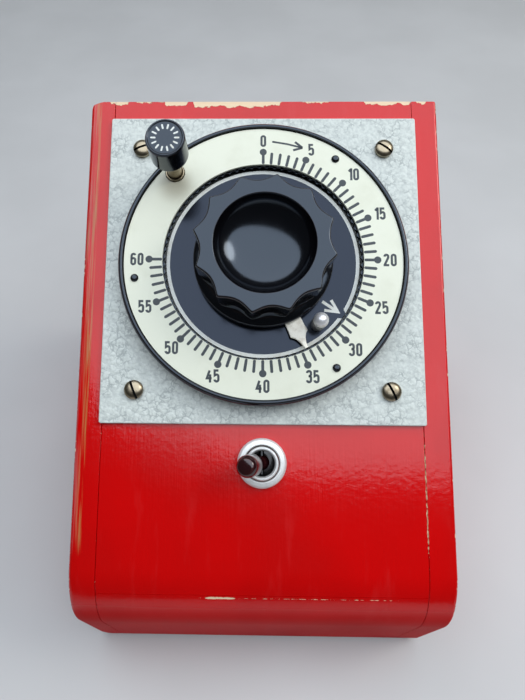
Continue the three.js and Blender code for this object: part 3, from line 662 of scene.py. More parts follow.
@dataclass(frozen=True)
class Finish:
    """A finish with cloudy grime, fine relief, a changed colour where edges are worn, and painted near-black shade
    where the wear is below 0.
    """

    name: str
    base: Colour
    worn: Colour
    shaded: Colour
    rough: float = 0.3
    metallic: float = 0.0
    ior: float = 1.5
    coat: float = 0.0
    # Colours the reflections; a bluish tint paints sky blue into them.
    tint: Colour = (1.0, 1.0, 1.0)
    grime_size: float = 9.0
    grime: float = 0.5
    wear: float = 0.5
    relief: float = 0.004
    relief_size: float = 0.6

    def material(self, effects: Effects) -> bpy.types.Material:
        """The finish as a material.

        Args:
            effects: The shared groups.

        Returns:
            The material.
        """
        made = bpy.data.materials.new(self.name)
        made.use_nodes = True
        w = Wiring(made.node_tree)
        made.node_tree.nodes.clear()
        shader = w.node("ShaderNodeBsdfPrincipled", {
            "Roughness": self.rough, "Metallic": self.metallic, "IOR": self.ior, "Specular Tint": self.tint,
            "Coat Weight": self.coat, "Coat Roughness": 0.06,
        })
        out = w.node("ShaderNodeOutputMaterial")
        w.feed(out.inputs["Surface"], shader.outputs[0])
        self.dress(w, shader, effects)
        made.diffuse_color = (*self.base, 1.0)
        return made

    def dress(self, w: Wiring, shader: bpy.types.Node, effects: Effects) -> None:
        """Wires the colour, roughness and relief into the shader."""
        mm = w.millimetres()
        grime = w.group(effects.grime, Vector=mm, Size=self.grime_size, Amount=self.grime)
        fine = w.group(effects.scratches, Vector=mm, Size=self.relief_size)
        colour = w.mixed(grime.outputs["Mask"], self.base, self.shaded)
        rubbed = w.times(w.between(w.wear(), 0.25, 1.0), self.wear, clamp=True)
        colour = w.mixed(rubbed, colour, self.worn)
        # Where the wear is below 0 the colour turns towards near-black: painted shade in bores, slot floors and under
        # the pin's dome.
        w.feed(shader.inputs["Base Color"], w.mixed(w.between(w.wear(), -0.1, -0.6), colour, (0.006, 0.006, 0.006)))
        spread = w.times(w.minus(fine.outputs["Height"], 0.5), 0.25)
        rough = w.plus(w.plus(spread, self.rough), w.times(grime.outputs["Mask"], 0.12))
        w.feed(shader.inputs["Roughness"], w.math("MAXIMUM", rough, 0.03, clamp=True))
        w.feed(shader.inputs["Normal"], w.bump(fine.outputs["Height"], self.relief))


@dataclass(frozen=True)
class RedPaint(Finish):
    """Gloss red brushed on wood: bristle marks, bare chips along worn edges and a rubbed strip down the left board."""

    panel: Place | None = None
    case: Place | None = None
    strip_edge: float = -64.4
    top_edge: float = 68.4
    right_joint: float = 59.4
    nose_joint: float = 52.9
    top_chips: tuple[tuple[float, float, float], ...] = ((-61.5, -54.5, 0.34), (-39.0, -30.5, 0.36), (-27.5, 7.0, 0.52),
                                                         (13.5, 26.5, 0.24), (40.5, 59.0, 0.34), (61.5, 64.7, 0.4))
    wood: Colour = (0.92, 0.74, 0.50)
    glow: Colour = (0.52, 0.20, 0.10)

    def dress(self, w: Wiring, shader: bpy.types.Node, effects: Effects) -> None:
        """Wires the paint, its streaks and its wear."""
        mm = w.millimetres()
        streaks = w.group(effects.streaks, Vector=mm, Across=1.3, Along=0.05)
        cloud = w.noise(mm, 0.022, 3.0)
        paint = w.mixed(w.between(cloud, 0.35, 0.7), self.base, self.shaded)
        paint = w.mixed(w.times(w.between(streaks.outputs["Bands"], 0.55, 0.75), 0.35), paint, self.worn)
        paint = self.rubbed(w, mm, effects, paint)

        bare, rim = 0.0, 0.0
        for distance, reach, size, bias in self.edges(w, mm):
            chip = w.group(effects.chips, Vector=mm, Distance=distance, Reach=reach, Size=size, Bias=bias)
            bare = w.math("MAXIMUM", bare, chip.outputs["Mask"])
            rim = w.math("MAXIMUM", rim, chip.outputs["Rim"])
        grain = w.group(effects.grain, Vector=mm, Pitch=1.6)
        timber = w.mixed(w.times(grain.outputs["Tone"], 0.5), self.wood, (0.78, 0.50, 0.27))
        paint = w.mixed(w.times(rim, 0.6), paint, (0.30, 0.03, 0.02))
        w.feed(shader.inputs["Base Color"], w.mixed(bare, paint, timber))

        dull = w.between(w.along(mm, self.case, self.case.up), 5.0, 1.0)
        w.feed(shader.inputs["Specular IOR Level"], w.between(dull, 0.0, 1.0, 0.5, 0.12))
        gloss = w.plus(w.plus(self.rough, w.times(dull, 0.5)), w.times(w.between(cloud, 0.4, 0.8), 0.08))
        w.feed(shader.inputs["Roughness"], w.plus(gloss, w.times(bare, 0.45), clamp=True))
        peel = w.noise(mm, 0.55, 2.0)
        relief = w.plus(w.times(streaks.outputs["Height"], 0.55), w.times(peel, 0.45))
        w.feed(shader.inputs["Normal"], w.bump(w.minus(relief, w.times(bare, 0.9)), 0.09))

    def rubbed(self, w: Wiring, mm: Socket, effects: Effects, paint: Socket) -> Socket:
        """The paint with its rubbed strip: pink outside and orange-brown inside, drawn out along the slope.

        Args:
            w: The tree.
            mm: The place in millimetres.
            effects: The shared groups.
            paint: The colour before the strip.

        Returns:
            The colour with the strip.
        """
        across = w.dot(mm, (1, 0, 0))
        near = w.between(w.along(mm, self.panel, self.panel.out), -5.0, -1.5)
        inside = w.times(w.between(across, self.strip_edge, self.strip_edge - 0.9), near)
        started = w.times(inside, w.between(w.along(mm, self.panel, self.panel.up), -108.0, -100.0))
        moved = w.scaled(mm, 1, 1, 1, shift=(31.0, 7.0, 3.0))
        thin = w.group(effects.streaks, Vector=moved, Across=1.5, Along=0.035).outputs["Height"]
        tint = w.mixed(w.between(across, -68.6, -65.6), (0.62, 0.10, 0.10), (0.52, 0.19, 0.06))
        paint = w.mixed(w.times(w.times(started, w.between(thin, 0.42, 0.66)), 0.85), paint, tint)
        return w.mixed(w.times(started, w.between(thin, 0.64, 0.72)), paint, self.glow)

    def edges(self, w: Wiring, mm: Socket) -> list[tuple[Socket, float, float, Socket]]:
        """The worn edges: the top edge, the right joint, the nose joint and the arrises.

        Args:
            w: The tree.
            mm: The place in millimetres.

        Returns:
            For each edge the distance from it, how far its chips reach, their size and their bias.
        """
        across = w.dot(mm, (1, 0, 0))
        up = w.along(mm, self.panel, self.panel.up)
        height = w.along(mm, self.case, self.case.out)
        uneven = w.times(w.minus(w.noise(w.scaled(mm, 0.07, 0.02, 0.02), 1.0, 3.0), 0.5), 0.9)
        front = w.between(w.along(mm, self.case, self.case.up), 24.0, 20.0)
        thick = w.times(w.between(across, -20.4, -19.0), w.between(across, -9.0, -10.2))
        run = w.times(w.between(across, -26.0, -19.0), w.between(across, 52.0, 44.0))
        runs = w.plus(w.times(thick, 0.42), w.times(run, 0.2))
        down = w.times(w.between(up, -112.0, -100.0), w.between(up, -62.0, -70.0))
        worn_top = 0.0
        for start, end, depth in self.top_chips:
            window = w.times(w.between(across, start - 1.0, start + 0.6), w.between(across, end + 1.0, end - 0.6))
            worn_top = w.plus(worn_top, w.times(window, depth))
        return [
            (w.apart(up, self.top_edge), 4.6, 3.2, w.minus(w.plus(w.times(uneven, 0.5), worn_top), 0.05)),
            (w.apart(across, self.right_joint), 1.1, 1.2, w.minus(w.times(down, 0.32), 0.14)),
            (w.apart(height, self.nose_joint), 0.75, 1.4, w.minus(w.times(front, runs), 0.16)),
            (w.times(w.minus(1.0, w.wear()), 3.0), 3.0, 2.2, w.minus(w.times(uneven, 0.4), 0.03)),
        ]


@dataclass(frozen=True)
class HammeredPaint(Finish):
    """Light grey-green hammered paint: round-topped cells with darker veins, rubbed bright along the edge."""

    cell: float = 3.1

    def dress(self, w: Wiring, shader: bpy.types.Node, effects: Effects) -> None:
        """Wires the cells, veins and edge."""
        mm = w.millimetres()
        cells = w.group(effects.hammer, Vector=mm, Cell=self.cell)
        grime = w.group(effects.grime, Vector=mm, Size=self.grime_size, Amount=self.grime)
        mottle = w.between(w.noise(mm, 0.8, 3.0), 0.35, 0.7)
        colour = w.mixed(w.times(mottle, 0.35), self.base, self.shaded)
        colour = w.mixed(w.times(cells.outputs["Veins"], 0.75), colour, self.shaded)
        colour = w.mixed(w.times(grime.outputs["Mask"], 0.5), colour, self.shaded)
        rubbed = w.times(w.between(w.wear(), 0.2, 0.9), self.wear)
        w.feed(shader.inputs["Base Color"], w.mixed(rubbed, colour, self.worn))
        w.feed(shader.inputs["Roughness"], w.between(cells.outputs["Veins"], 0.0, 1.0, self.rough, self.rough + 0.2))
        w.feed(shader.inputs["Normal"], w.bump(cells.outputs["Height"], 0.16))


@dataclass(frozen=True)
class Enamel(Finish):
    """Off-white enamel that has yellowed a little in patches, and turns darker and yellower in a spot centred just
    below the start button.
    """

    panel: Place | None = None
    stain_x: float = -33.2
    stain_y: float = 29.0

    def dress(self, w: Wiring, shader: bpy.types.Node, effects: Effects) -> None:
        """Wires the enamel and the darker spot below the button."""
        mm = w.millimetres()
        grime = w.group(effects.grime, Vector=mm, Size=self.grime_size, Amount=self.grime)
        spot = self.panel.metres(np.array([self.stain_x, self.stain_y, 8.7])) / MM
        ends = {0: mm, 1: tuple(float(x) for x in spot)}
        away = w.node("ShaderNodeVectorMath", ends, operation="DISTANCE").outputs["Value"]
        # Darker and yellower towards a point just below the button, fading out within 9 mm.
        button_patch = w.times(w.between(away, 9.0, 2.0), 0.55)
        colour = w.mixed(grime.outputs["Mask"], self.base, self.shaded)
        w.feed(shader.inputs["Base Color"], w.mixed(button_patch, colour, (0.42, 0.38, 0.27)))
        w.feed(shader.inputs["Roughness"], w.between(grime.outputs["Mask"], 0.0, 1.0, self.rough, self.rough + 0.2))
        w.feed(shader.inputs["Normal"], w.bump(w.noise(mm, 2.2, 3.0), 0.006))


@dataclass(frozen=True)
class Timber(Finish):
    """Bare wood with year rings and pores."""

    def dress(self, w: Wiring, shader: bpy.types.Node, effects: Effects) -> None:
        """Wires the grain."""
        mm = w.millimetres()
        grain = w.group(effects.grain, Vector=w.scaled(mm, 1, 1, 1, (0.0, 0.0, 1.5708)), Pitch=5.0)
        grime = w.group(effects.grime, Vector=mm, Size=self.grime_size, Amount=self.grime)
        colour = w.mixed(grain.outputs["Tone"], self.base, self.shaded)
        colour = w.mixed(w.times(grain.outputs["Pores"], 0.7), colour, (0.12, 0.06, 0.03))
        w.feed(shader.inputs["Base Color"], w.mixed(w.times(grime.outputs["Mask"], 0.5), colour, self.worn))
        w.feed(shader.inputs["Normal"], w.bump(w.minus(grain.outputs["Tone"], grain.outputs["Pores"]), 0.05))


def finishes(panel: Place, case: Place) -> dict[Slot, Finish]:
    """Every finish by its slot.

    Args:
        panel: The panel frame.
        case: The case frame.

    Returns:
        The finishes.
    """
    return {
        Slot.RED_PAINT: RedPaint("red_paint", (0.66, 0.0012, 0.0015), (0.66, 0.02, 0.02), (0.57, 0.001, 0.001),
                                 rough=0.11, panel=panel, case=case),
        Slot.BARE_WOOD: Timber("bare_wood", (0.52, 0.33, 0.17), (0.22, 0.15, 0.09), (0.36, 0.20, 0.09), rough=0.65),
        Slot.HAMMERED: HammeredPaint("hammered_paint", (0.70, 0.75, 0.70), (0.84, 0.88, 0.82), (0.33, 0.37, 0.36),
                                     rough=0.33, grime_size=14.0, grime=0.35, wear=0.7),
        # Near-black with a faint blue, and a bluish tint on its reflections: a painted sky blue.
        Slot.BAKELITE: Finish("bakelite", (0.0025, 0.0025, 0.0035), (0.03, 0.018, 0.013), (0.006, 0.004, 0.004),
                              rough=0.14, ior=1.6, tint=(0.84, 1.0, 1.2), grime_size=7.0, grime=0.3, relief=0.002),
        Slot.SCALE: Enamel("scale_enamel", (0.835, 0.86, 0.705), (0.8, 0.8, 0.7), (0.74, 0.76, 0.60), rough=0.38,
                           grime_size=12.0, grime=0.55, panel=panel),
        Slot.NICKEL: Finish("nickel", (0.40, 0.34, 0.24), (0.62, 0.56, 0.44), (0.16, 0.12, 0.075), rough=0.3,
                            metallic=1.0, grime_size=2.5, grime=0.8, relief=0.008),
        Slot.BRASS: Finish("brass", (0.72, 0.50, 0.20), (0.86, 0.68, 0.36), (0.40, 0.25, 0.09), rough=0.3,
                           metallic=1.0),
        Slot.STEEL: Finish("steel", (0.50, 0.51, 0.53), (0.7, 0.7, 0.72), (0.28, 0.27, 0.26), rough=0.3, metallic=1.0),
        Slot.SPRING: Finish("spring_steel", (0.25, 0.26, 0.29), (0.45, 0.45, 0.47), (0.12, 0.12, 0.15), rough=0.32,
                            metallic=1.0),
        Slot.ALUMINIUM: Finish("aluminium", (0.88, 0.89, 0.87), (0.95, 0.95, 0.93), (0.60, 0.61, 0.60), rough=0.4,
                               metallic=0.4, grime_size=3.0, grime=0.45, relief=0.008),
        Slot.IVORY: Finish("ivory", (0.86, 0.83, 0.72), (0.9, 0.88, 0.82), (0.55, 0.49, 0.38), rough=0.3, metallic=0.25,
                           grime_size=3.0, grime=0.6),
        Slot.RUBBER: Finish("rubber", (0.018, 0.018, 0.019), (0.05, 0.05, 0.05), (0.035, 0.034, 0.032), rough=0.72,
                            grime_size=5.0, grime=0.7, relief=0.02),
        Slot.MOULDED: Finish("moulded", (0.022, 0.004, 0.005), (0.07, 0.018, 0.016), (0.012, 0.004, 0.004), rough=0.13,
                             ior=1.6, coat=0.3, grime_size=4.0, grime=0.4, relief=0.002),
    }


def extra_finishes() -> dict[str, Finish]:
    """The inks, and the pin's silver grey with a painted sheen, which share a slot with what they are on."""
    return {
        "scale_ink": Finish("scale_ink", (0.030, 0.042, 0.050), (0.04, 0.05, 0.06), (0.055, 0.07, 0.08), rough=0.4,
                            grime_size=2.0),
        "dial_ink": Finish("dial_ink", (0.80, 0.83, 0.78), (0.8, 0.8, 0.78), (0.66, 0.64, 0.54), rough=0.42,
                           grime_size=5.0, grime=0.8),
        # Bluish black with bluish reflections: a painted sky blue on the disc.
        "disc_black": Finish("disc_black", (0.003, 0.0035, 0.006), (0.03, 0.02, 0.015), (0.006, 0.006, 0.008),
                             rough=0.16, ior=1.47, tint=(0.8, 0.95, 1.25), grime_size=11.0, grime=0.3, relief=0.002),
        # Near-white and half metallic: the pin's silver with a painted sheen standing in for the bright reflection of
        # its dome.
        "pin_painted_sheen": Finish("pin_painted_sheen", (0.90, 0.90, 0.91), (0.95, 0.95, 0.95), (0.60, 0.58, 0.55), rough=0.36,
                             metallic=0.55, grime_size=2.0, grime=0.4, relief=0.002),
    }


# ---------- the wooden case ----------


@dataclass
class WoodenCase:
    """Two side boards, a round-nosed front rail, the sloping panel, the back board and the bottom cover."""

    case: Place
    panel: Place
    width: float = 139.0
    side: float = 10.0
    slope: float = 28.0
    front: float = 36.0
    nose: float = 26.0
    run: float = 180.4
    board: float = 8.0
    rail: float = 12.0
    rail_joint: float = 19.2
    cover: float = 4.0
    lip: float = 3.5
    crack: float = 0.15
    gap: float = 0.3
    foot_inset: tuple[float, float] = (21.0, 22.0)
    gland: tuple[float, float] = (28.0, 30.0)
    movement_bore: float = 48.0

    def __post_init__(self) -> None:
        """Works out where the nose ends and where the slope meets the back."""
        angle = np.radians(90 + self.slope)
        self.nose_end = np.array([self.nose * (1 + np.cos(angle)), self.front + self.nose * np.sin(angle)])
        self.along = np.array([np.cos(np.radians(self.slope)), np.sin(np.radians(self.slope))])
        self.top = self.nose_end + self.along * self.run
        self.depth = float(self.top[0])
        self.inner = self.width / 2 - self.side - self.crack

    def arc(self, radius: float, start: float, end: float, count: int) -> Array:
        """Points on a circle round the nose's centre, from one angle to another in degrees."""
        angle = np.radians(np.linspace(start, end, count))
        return np.stack([self.nose + radius * np.cos(angle), self.front + radius * np.sin(angle)], 1)

    @staticmethod
    def lay(outline: Array, x_low: float, x_high: float, left: float, right: float, bevel: float = 0.0) -> Shell:
        """A side profile carried across the case, with rounded arrises.

        The profile is drawn in by r(1 - sin a) at x = r(1 - cos a) from each face, which rounds the arris. A bevel
        draws the left part in a little more, falling to nothing 5 mm inside.

        Args:
            outline: The profile as depth and height, anticlockwise.
            x_low: Left face.
            x_high: Right face.
            left: Radius of the left arris.
            right: Radius of the right arris.
            bevel: How far the left part is drawn in.

        Returns:
            The closed shell.
        """
        a = np.linspace(0, np.pi / 2, 6)
        wear = np.sin(2 * a)
        steps, level = (x_low + np.array([2.6, 4.2, 5.4]), [0.0] * 3) if bevel else ([], [])
        x = [[x_low], x_low + left * (1 - np.cos(a)), [x_low + left * 1.3], steps,
             [x_high - right * 1.3], (x_high - right * (1 - np.cos(a)))[::-1], [x_high]]
        inset = [[left * 1.3], left * (1 - np.sin(a)), [0.0], level,
                 [0.0], (right * (1 - np.sin(a)))[::-1], [right * 1.3]]
        rub = [[0.0], wear, [0.0], level, [0.0], wear[::-1], [0.0]]
        x, inset, rub = np.concatenate(x), np.concatenate(inset), np.concatenate(rub)
        inset = inset + bevel * np.clip(1 - (x - x_low) / 5.2, 0, 1) ** 1.3
        flat = outline[None] - inset[:, None, None] * outward(outline)[None]
        grid = np.concatenate([np.broadcast_to(x[:, None, None], (*flat.shape[:2], 1)), flat], 2)
        return Shell().grid(grid, rub[:, None], caps=True)

    def side_profile(self) -> Array:
        """The outline of a side board, anticlockwise seen with the depth to the right."""
        nose = self.arc(self.nose, 90 + self.slope, 180, 28)
        flat = np.linspace(self.top, self.nose_end, 12)[:-1]
        corners = np.array([[0.0, 0.0], [self.depth, 0.0]])
        return np.concatenate([corners, [self.top], flat[1:], nose])

    def panel_profile(self) -> Array:
        """The outline of the sloping panel: a flat with the start of the nose."""
        joint = 90 + self.slope + self.rail_joint - np.degrees(self.crack / self.nose)
        under = self.top - [0.0, self.board / np.cos(np.radians(self.slope))]
        outer = self.arc(self.nose, 90 + self.slope, joint, 8)
        inner = self.arc(self.nose - self.board, joint, 90 + self.slope, 6)
        return np.concatenate([[under, self.top], outer, inner])

    def rail_profile(self) -> Array:
        """The outline of the round-nosed front rail, with the rebate for the bottom cover."""
        joint = 90 + self.slope + self.rail_joint
        outer, inner = self.arc(self.nose, joint, 180, 20), self.arc(self.nose - self.rail, 180, joint, 12)
        step = self.cover + self.gap
        foot = np.array([[0.0, 0.0], [self.lip, 0.0], [self.lip, step], [self.rail, step]])
        return np.concatenate([foot, inner, outer])

    def back_profile(self) -> Array:
        """The outline of the back board, whose top edge is cut to the slope."""
        top = self.top[1] - (self.board + self.gap) / np.cos(np.radians(self.slope))
        inside = self.depth - self.board
        low, step, lip = top - self.board * np.tan(np.radians(self.slope)), self.cover + self.gap, self.depth - self.lip
        return np.array([[self.depth, 0.0], [self.depth, top], [inside, low], [inside, step], [lip, step], [lip, 0.0]])

    def build(self, shop: Shop, dial: "DialFace") -> None:
        """Makes and dresses the boards, feet, screws and glands.

        Args:
            shop: Takes the pieces.
            dial: The dial face, for the places of its screws and button.
        """
        half, red, case = self.width / 2, Slot.RED_PAINT, Body.CASE
        sides = self.side_profile()
        left = self.lay(sides, -half, -half + self.side, 1.5, 0.12, bevel=0.8)
        right = self.lay(sides, half - self.side, half, 0.12, 1.1)
        shop.piece("left_side_board", left.mesh("left_side_board", self.case), red, case, "case_left_side")
        shop.piece("right_side_board", right.mesh("right_side_board", self.case), red, case, "case_right_side")

        rail = self.lay(self.rail_profile(), -self.inner, self.inner, 0.2, 0.2).mesh("rail", self.case)
        back = self.lay(self.back_profile(), -self.inner, self.inner, 0.2, 0.2).mesh("back", self.case)
        pilots = [rod(self.case.at(x, y), 1.3, -1.0, 9.0, 24) for x, y in self.cover_screws()]
        into_back = Place(self.case.origin, self.case.across, self.case.out, -self.case.up)
        start, end = -self.depth - 4, -self.depth + self.board + 4
        holes = [rod(into_back.at(side * self.gland[0], self.gland[1]), 7.3, start, end) for side in (-1, 1)]
        shop.piece("nose_rail", bored(rail, pilots[:2]), red, case, "front_rail")
        shop.piece("rear_board", bored(back, pilots[2:] + holes), red, case, "back_board")

        slab = self.lay(self.panel_profile(), -self.inner, self.inner, 0.2, 0.2).mesh("slab", self.case)
        openings = [rod(self.panel, self.movement_bore, -12, 2, 128), rod(self.panel.at(*dial.button), 6.0, -12, 2),
                    rod(self.panel.at(0, TOGGLE_Y), 6.3, -12, 2)]
        openings += [rod(self.panel.at(x, y), SCREW_BORE, -7.0, 2.0, 24) for x, y in dial.screw_places()]
        shop.piece("sloping_panel", bored(slab, openings), red, case, "sloped_panel")
        self.build_underside(shop)
        self.build_glands(shop)

    def cover_screws(self) -> list[tuple[float, float]]:
        """Places of the four screws of the bottom cover."""
        return [(x, y) for y in (6.2, self.depth - 5.8) for x in (-40.0, 40.0)]

    def build_underside(self, shop: Shop) -> None:
        """Makes the bottom cover, its screws and the rubber feet."""
        low, high = self.lip + self.gap, self.depth - self.lip - self.gap
        outline = np.array([[-self.inner, low], [self.inner, low], [self.inner, high], [-self.inner, high]])
        under = Place(self.case.origin, self.case.across, -self.case.up, -self.case.out)
        flipped = outline[::-1] * [1, -1]
        cover = Shell().prism(flipped, -self.cover, 0.0, 0.5).mesh("cover", under)
        holes = [rod(self.case.at(x, y), 1.5, -1.0, self.cover + 1, 24) for x, y in self.cover_screws()]
        shop.piece("base_cover", bored(cover, holes), Slot.BARE_WOOD, Body.CASE, "bottom_cover")
        for i, (x, y) in enumerate(self.cover_screws()):
            head = slotted_head(2.4, 0.35, 0.8, 0.3, 0.5, 0.3)
            head.lathe(softened([[0, 0.35], [1.0, 0.3], [1.0, -7.5], [0, -8.2]], 0.1), 24)
            spot = under.at(x, -y).spun(35.0 + 61.0 * i)
            shop.piece(f"base_screw_{i + 1}", head.mesh("screw", spot), Slot.NICKEL, Body.CASE, f"cover_screw_{i + 1}")
        profile = softened([[0, 3.5], [2.2, 3.5], [2.4, 2.9], [5.4, 2.9], [5.6, 3.5], [6.4, 3.4], [7, 2.5], [7, 0.3],
                            [0, 0.3]], 0.25)
        for i, (side, rear) in enumerate([(-1, 0), (1, 0), (-1, 1), (1, 1)]):
            y = self.depth - self.foot_inset[1] if rear else self.foot_inset[1]
            spot = under.at(side * (self.width / 2 - self.foot_inset[0]), -y)
            foot = Shell().lathe(profile, 48).mesh("foot", spot)
            shop.piece(f"foot_{i + 1}", foot, Slot.RUBBER, Body.CASE, f"rubber_foot_{i + 1}")

    def build_glands(self, shop: Shop) -> None:
        """Makes the two rubber glands in the back board, each with a ribbed sleeve and a rounded flange."""
        wall = self.board + 0.6
        profile = softened([[4, -1.9], [4, wall + 1.6], [9, wall + 1.6], [9, wall], [7, wall], [7, 0], [10, 0],
                            [9.6, -1.4], [6.6, -2.0], [6.2, -1.6], [5.2, -1.6], [4.9, -2.0]], 0.35, closed=True)
        inward = Place(self.case.origin, self.case.across, -self.case.out, self.case.up)
        for name, side in (("mains_gland", -1), ("lamp_gland", 1)):
            spot = inward.at(side * self.gland[0], -self.gland[1], self.depth + self.gap)
            flip = Place(spot.origin, spot.across, -spot.up, -spot.out)
            collar = Shell().lathe(profile, 64, closed=True).mesh(name, flip)
            shop.piece(name + "_sleeve", collar, Slot.RUBBER, Body.CASE, name)


def slotted_head(radius: float, rim: float, dome: float, half_slot: float, depth: float, base: float = 0.0,
                 slot_shade: float = -0.6) -> Shell:
    """A domed screw head with a slot, cut into chords across the slot.

    Column x holds the chord y = t sqrt(R^2 - x^2), t from -1 to 1. Its height is the rim plus (dome - rim)
    (1 - (r/R)^2); the two columns between the slot's walls lie a slot's depth below the dome. The end rows go
    down to the base.

    Args:
        radius: Radius of the head.
        rim: Height of the rim.
        dome: Height of the middle.
        half_slot: Half the slot's width.
        depth: Depth of the slot.
        base: Height of the underside.
        slot_shade: Wear value on the slot's floor; below 0 it paints near-black shade into the slot.

    Returns:
        The closed shell.
    """
    side = radius * np.sin(np.linspace(-np.pi / 2, -np.arcsin(half_slot / radius), 12))
    x = np.concatenate([side, [-half_slot * 0.96, half_slot * 0.96], -side[::-1]])
    sunk = np.zeros(len(x))
    sunk[len(side):len(side) + 2] = depth
    t = np.sin(np.linspace(-np.pi / 2, np.pi / 2, 23))
    y = t[:, None] * np.sqrt(np.maximum(radius**2 - x**2, 0))[None]
    share = np.clip((x[None] ** 2 + y**2) / radius**2, 0, 1)
    height = rim + (dome - rim) * (1 - share**1.6)
    height = np.where(sunk[None] > 0, np.minimum(height, dome - sunk[None]), height)
    top = np.stack([np.broadcast_to(x, y.shape), y, height], -1)
    foot = [np.stack([x, y[k], np.full(len(x), base)], -1)[None] for k in (0, -1)]
    grid = np.concatenate([foot[0], top, foot[1]])
    edge = np.concatenate([[0.0], np.clip((np.abs(t) - 0.9) * 10, 0, 1), [0.0]])
    # The slot's floor gets a value below 0, which paints near-black shade into the slot.
    shell = Shell().grid(grid, np.where(sunk[None] > 0, slot_shade, edge[:, None]), columns=False)
    last = (len(grid) - 1) * len(x)
    shell.faces.append([*range(len(x)), *range(last + len(x) - 1, last - 1, -1)])
    return shell


# ---------- the dial face ----------


class Digits:
    """Upright narrow numerals as centre lines, which are carried out as flat strips of ink."""

    def __init__(self, width: float = 2.2, height: float = 4.75, stroke: float = 0.84) -> None:
        """Works out the centre lines.

        Args:
            width: Width of a digit.
            height: Height of a digit.
            stroke: Width of a stroke.
        """
        self.width, self.stroke = width, stroke
        a, b = (width - stroke) / 2, (height - stroke) / 2
        top, low, turn = b - a, -b + a, 0.05

        def bow(cx: float, cy: float, rx: float, ry: float, start: float, end: float) -> Array:
            """Points on an ellipse between two angles in degrees."""
            angle = np.radians(np.linspace(start, end, 11))
            return np.stack([cx + rx * np.cos(angle), cy + ry * np.sin(angle)], 1)

        def line(*points: tuple[float, float]) -> Array:
            """Straight pieces through points."""
            return np.array(points, float)

        over, under = bow(0, top, a, a, 180, 0), bow(0, low, a, a, 0, -180)
        self.paths = {
            "0": ([np.concatenate([over, under])], True),
            "1": ([line((-0.62, b - 0.85), (0.1, b), (0.28, b), (0.28, -b - stroke / 2))], False),
            "2": ([np.concatenate([over, line((a, top - 0.35), (-a, -b + 0.1), (-a, -b), (a + 0.25, -b))])], False),
            "3": ([np.concatenate([over, bow(0, 0.75, a, 0.55, 0, -80), line((-0.12, 0.2))]),
                   np.concatenate([line((-0.12, 0.2)), bow(0, -0.35, a, 0.5, 80, 0), under])], False),
            "4": ([line((0.15, b), (-a - 0.1, -0.85), (a + 0.25, -0.85)),
                   line((0.35, 0.55), (0.35, -b - stroke / 2))], False),
            "5": ([np.concatenate([line((a, b), (-a, b), (-a, turn + 0.1)),
                                   bow(0, -0.25, a, 0.75, 125, 0), under])], False),
            "6": ([np.concatenate([bow(0, top, a, a, 20, 180), bow(0, low, a, a, 180, 360),
                                   bow(0, -0.35, a, a, 0, 165)])], False),
        }

    def write(self, shell: Shell, text: str, x: float, y: float, low: float, high: float) -> None:
        """Adds a number centred on a point.

        Args:
            shell: Takes the strips.
            text: The digits.
            x: Middle across.
            y: Middle up.
            low: Underside of the ink.
            high: Top of the ink.
        """
        step = self.width + 0.45
        for i, digit in enumerate(text):
            close = 0.55 if digit == "1" and len(text) > 1 else 0.0
            centre = np.array([x + (i - (len(text) - 1) / 2) * step + close, y])
            paths, closed = self.paths[digit]
            for path in paths:
                shell.grid(strip(path + centre, self.stroke, low, high, closed), rows=closed, caps=not closed)


def stadium(start: Array, end: Array, half: float) -> Array:
    """The outline of a bar with round ends, anticlockwise.

    Args:
        start: Centre of one end.
        end: Centre of the other end.
        half: Half the bar's width.

    Returns:
        The outline.
    """
    facing = np.arctan2(*(end - start)[::-1])
    far, near = facing + np.linspace(-np.pi / 2, np.pi / 2, 9), facing + np.linspace(np.pi / 2, 3 * np.pi / 2, 9)
    ends = [centre + half * np.stack([np.cos(a), np.sin(a)], 1) for centre, a in ((end, far), (start, near))]
    return np.concatenate(ends)


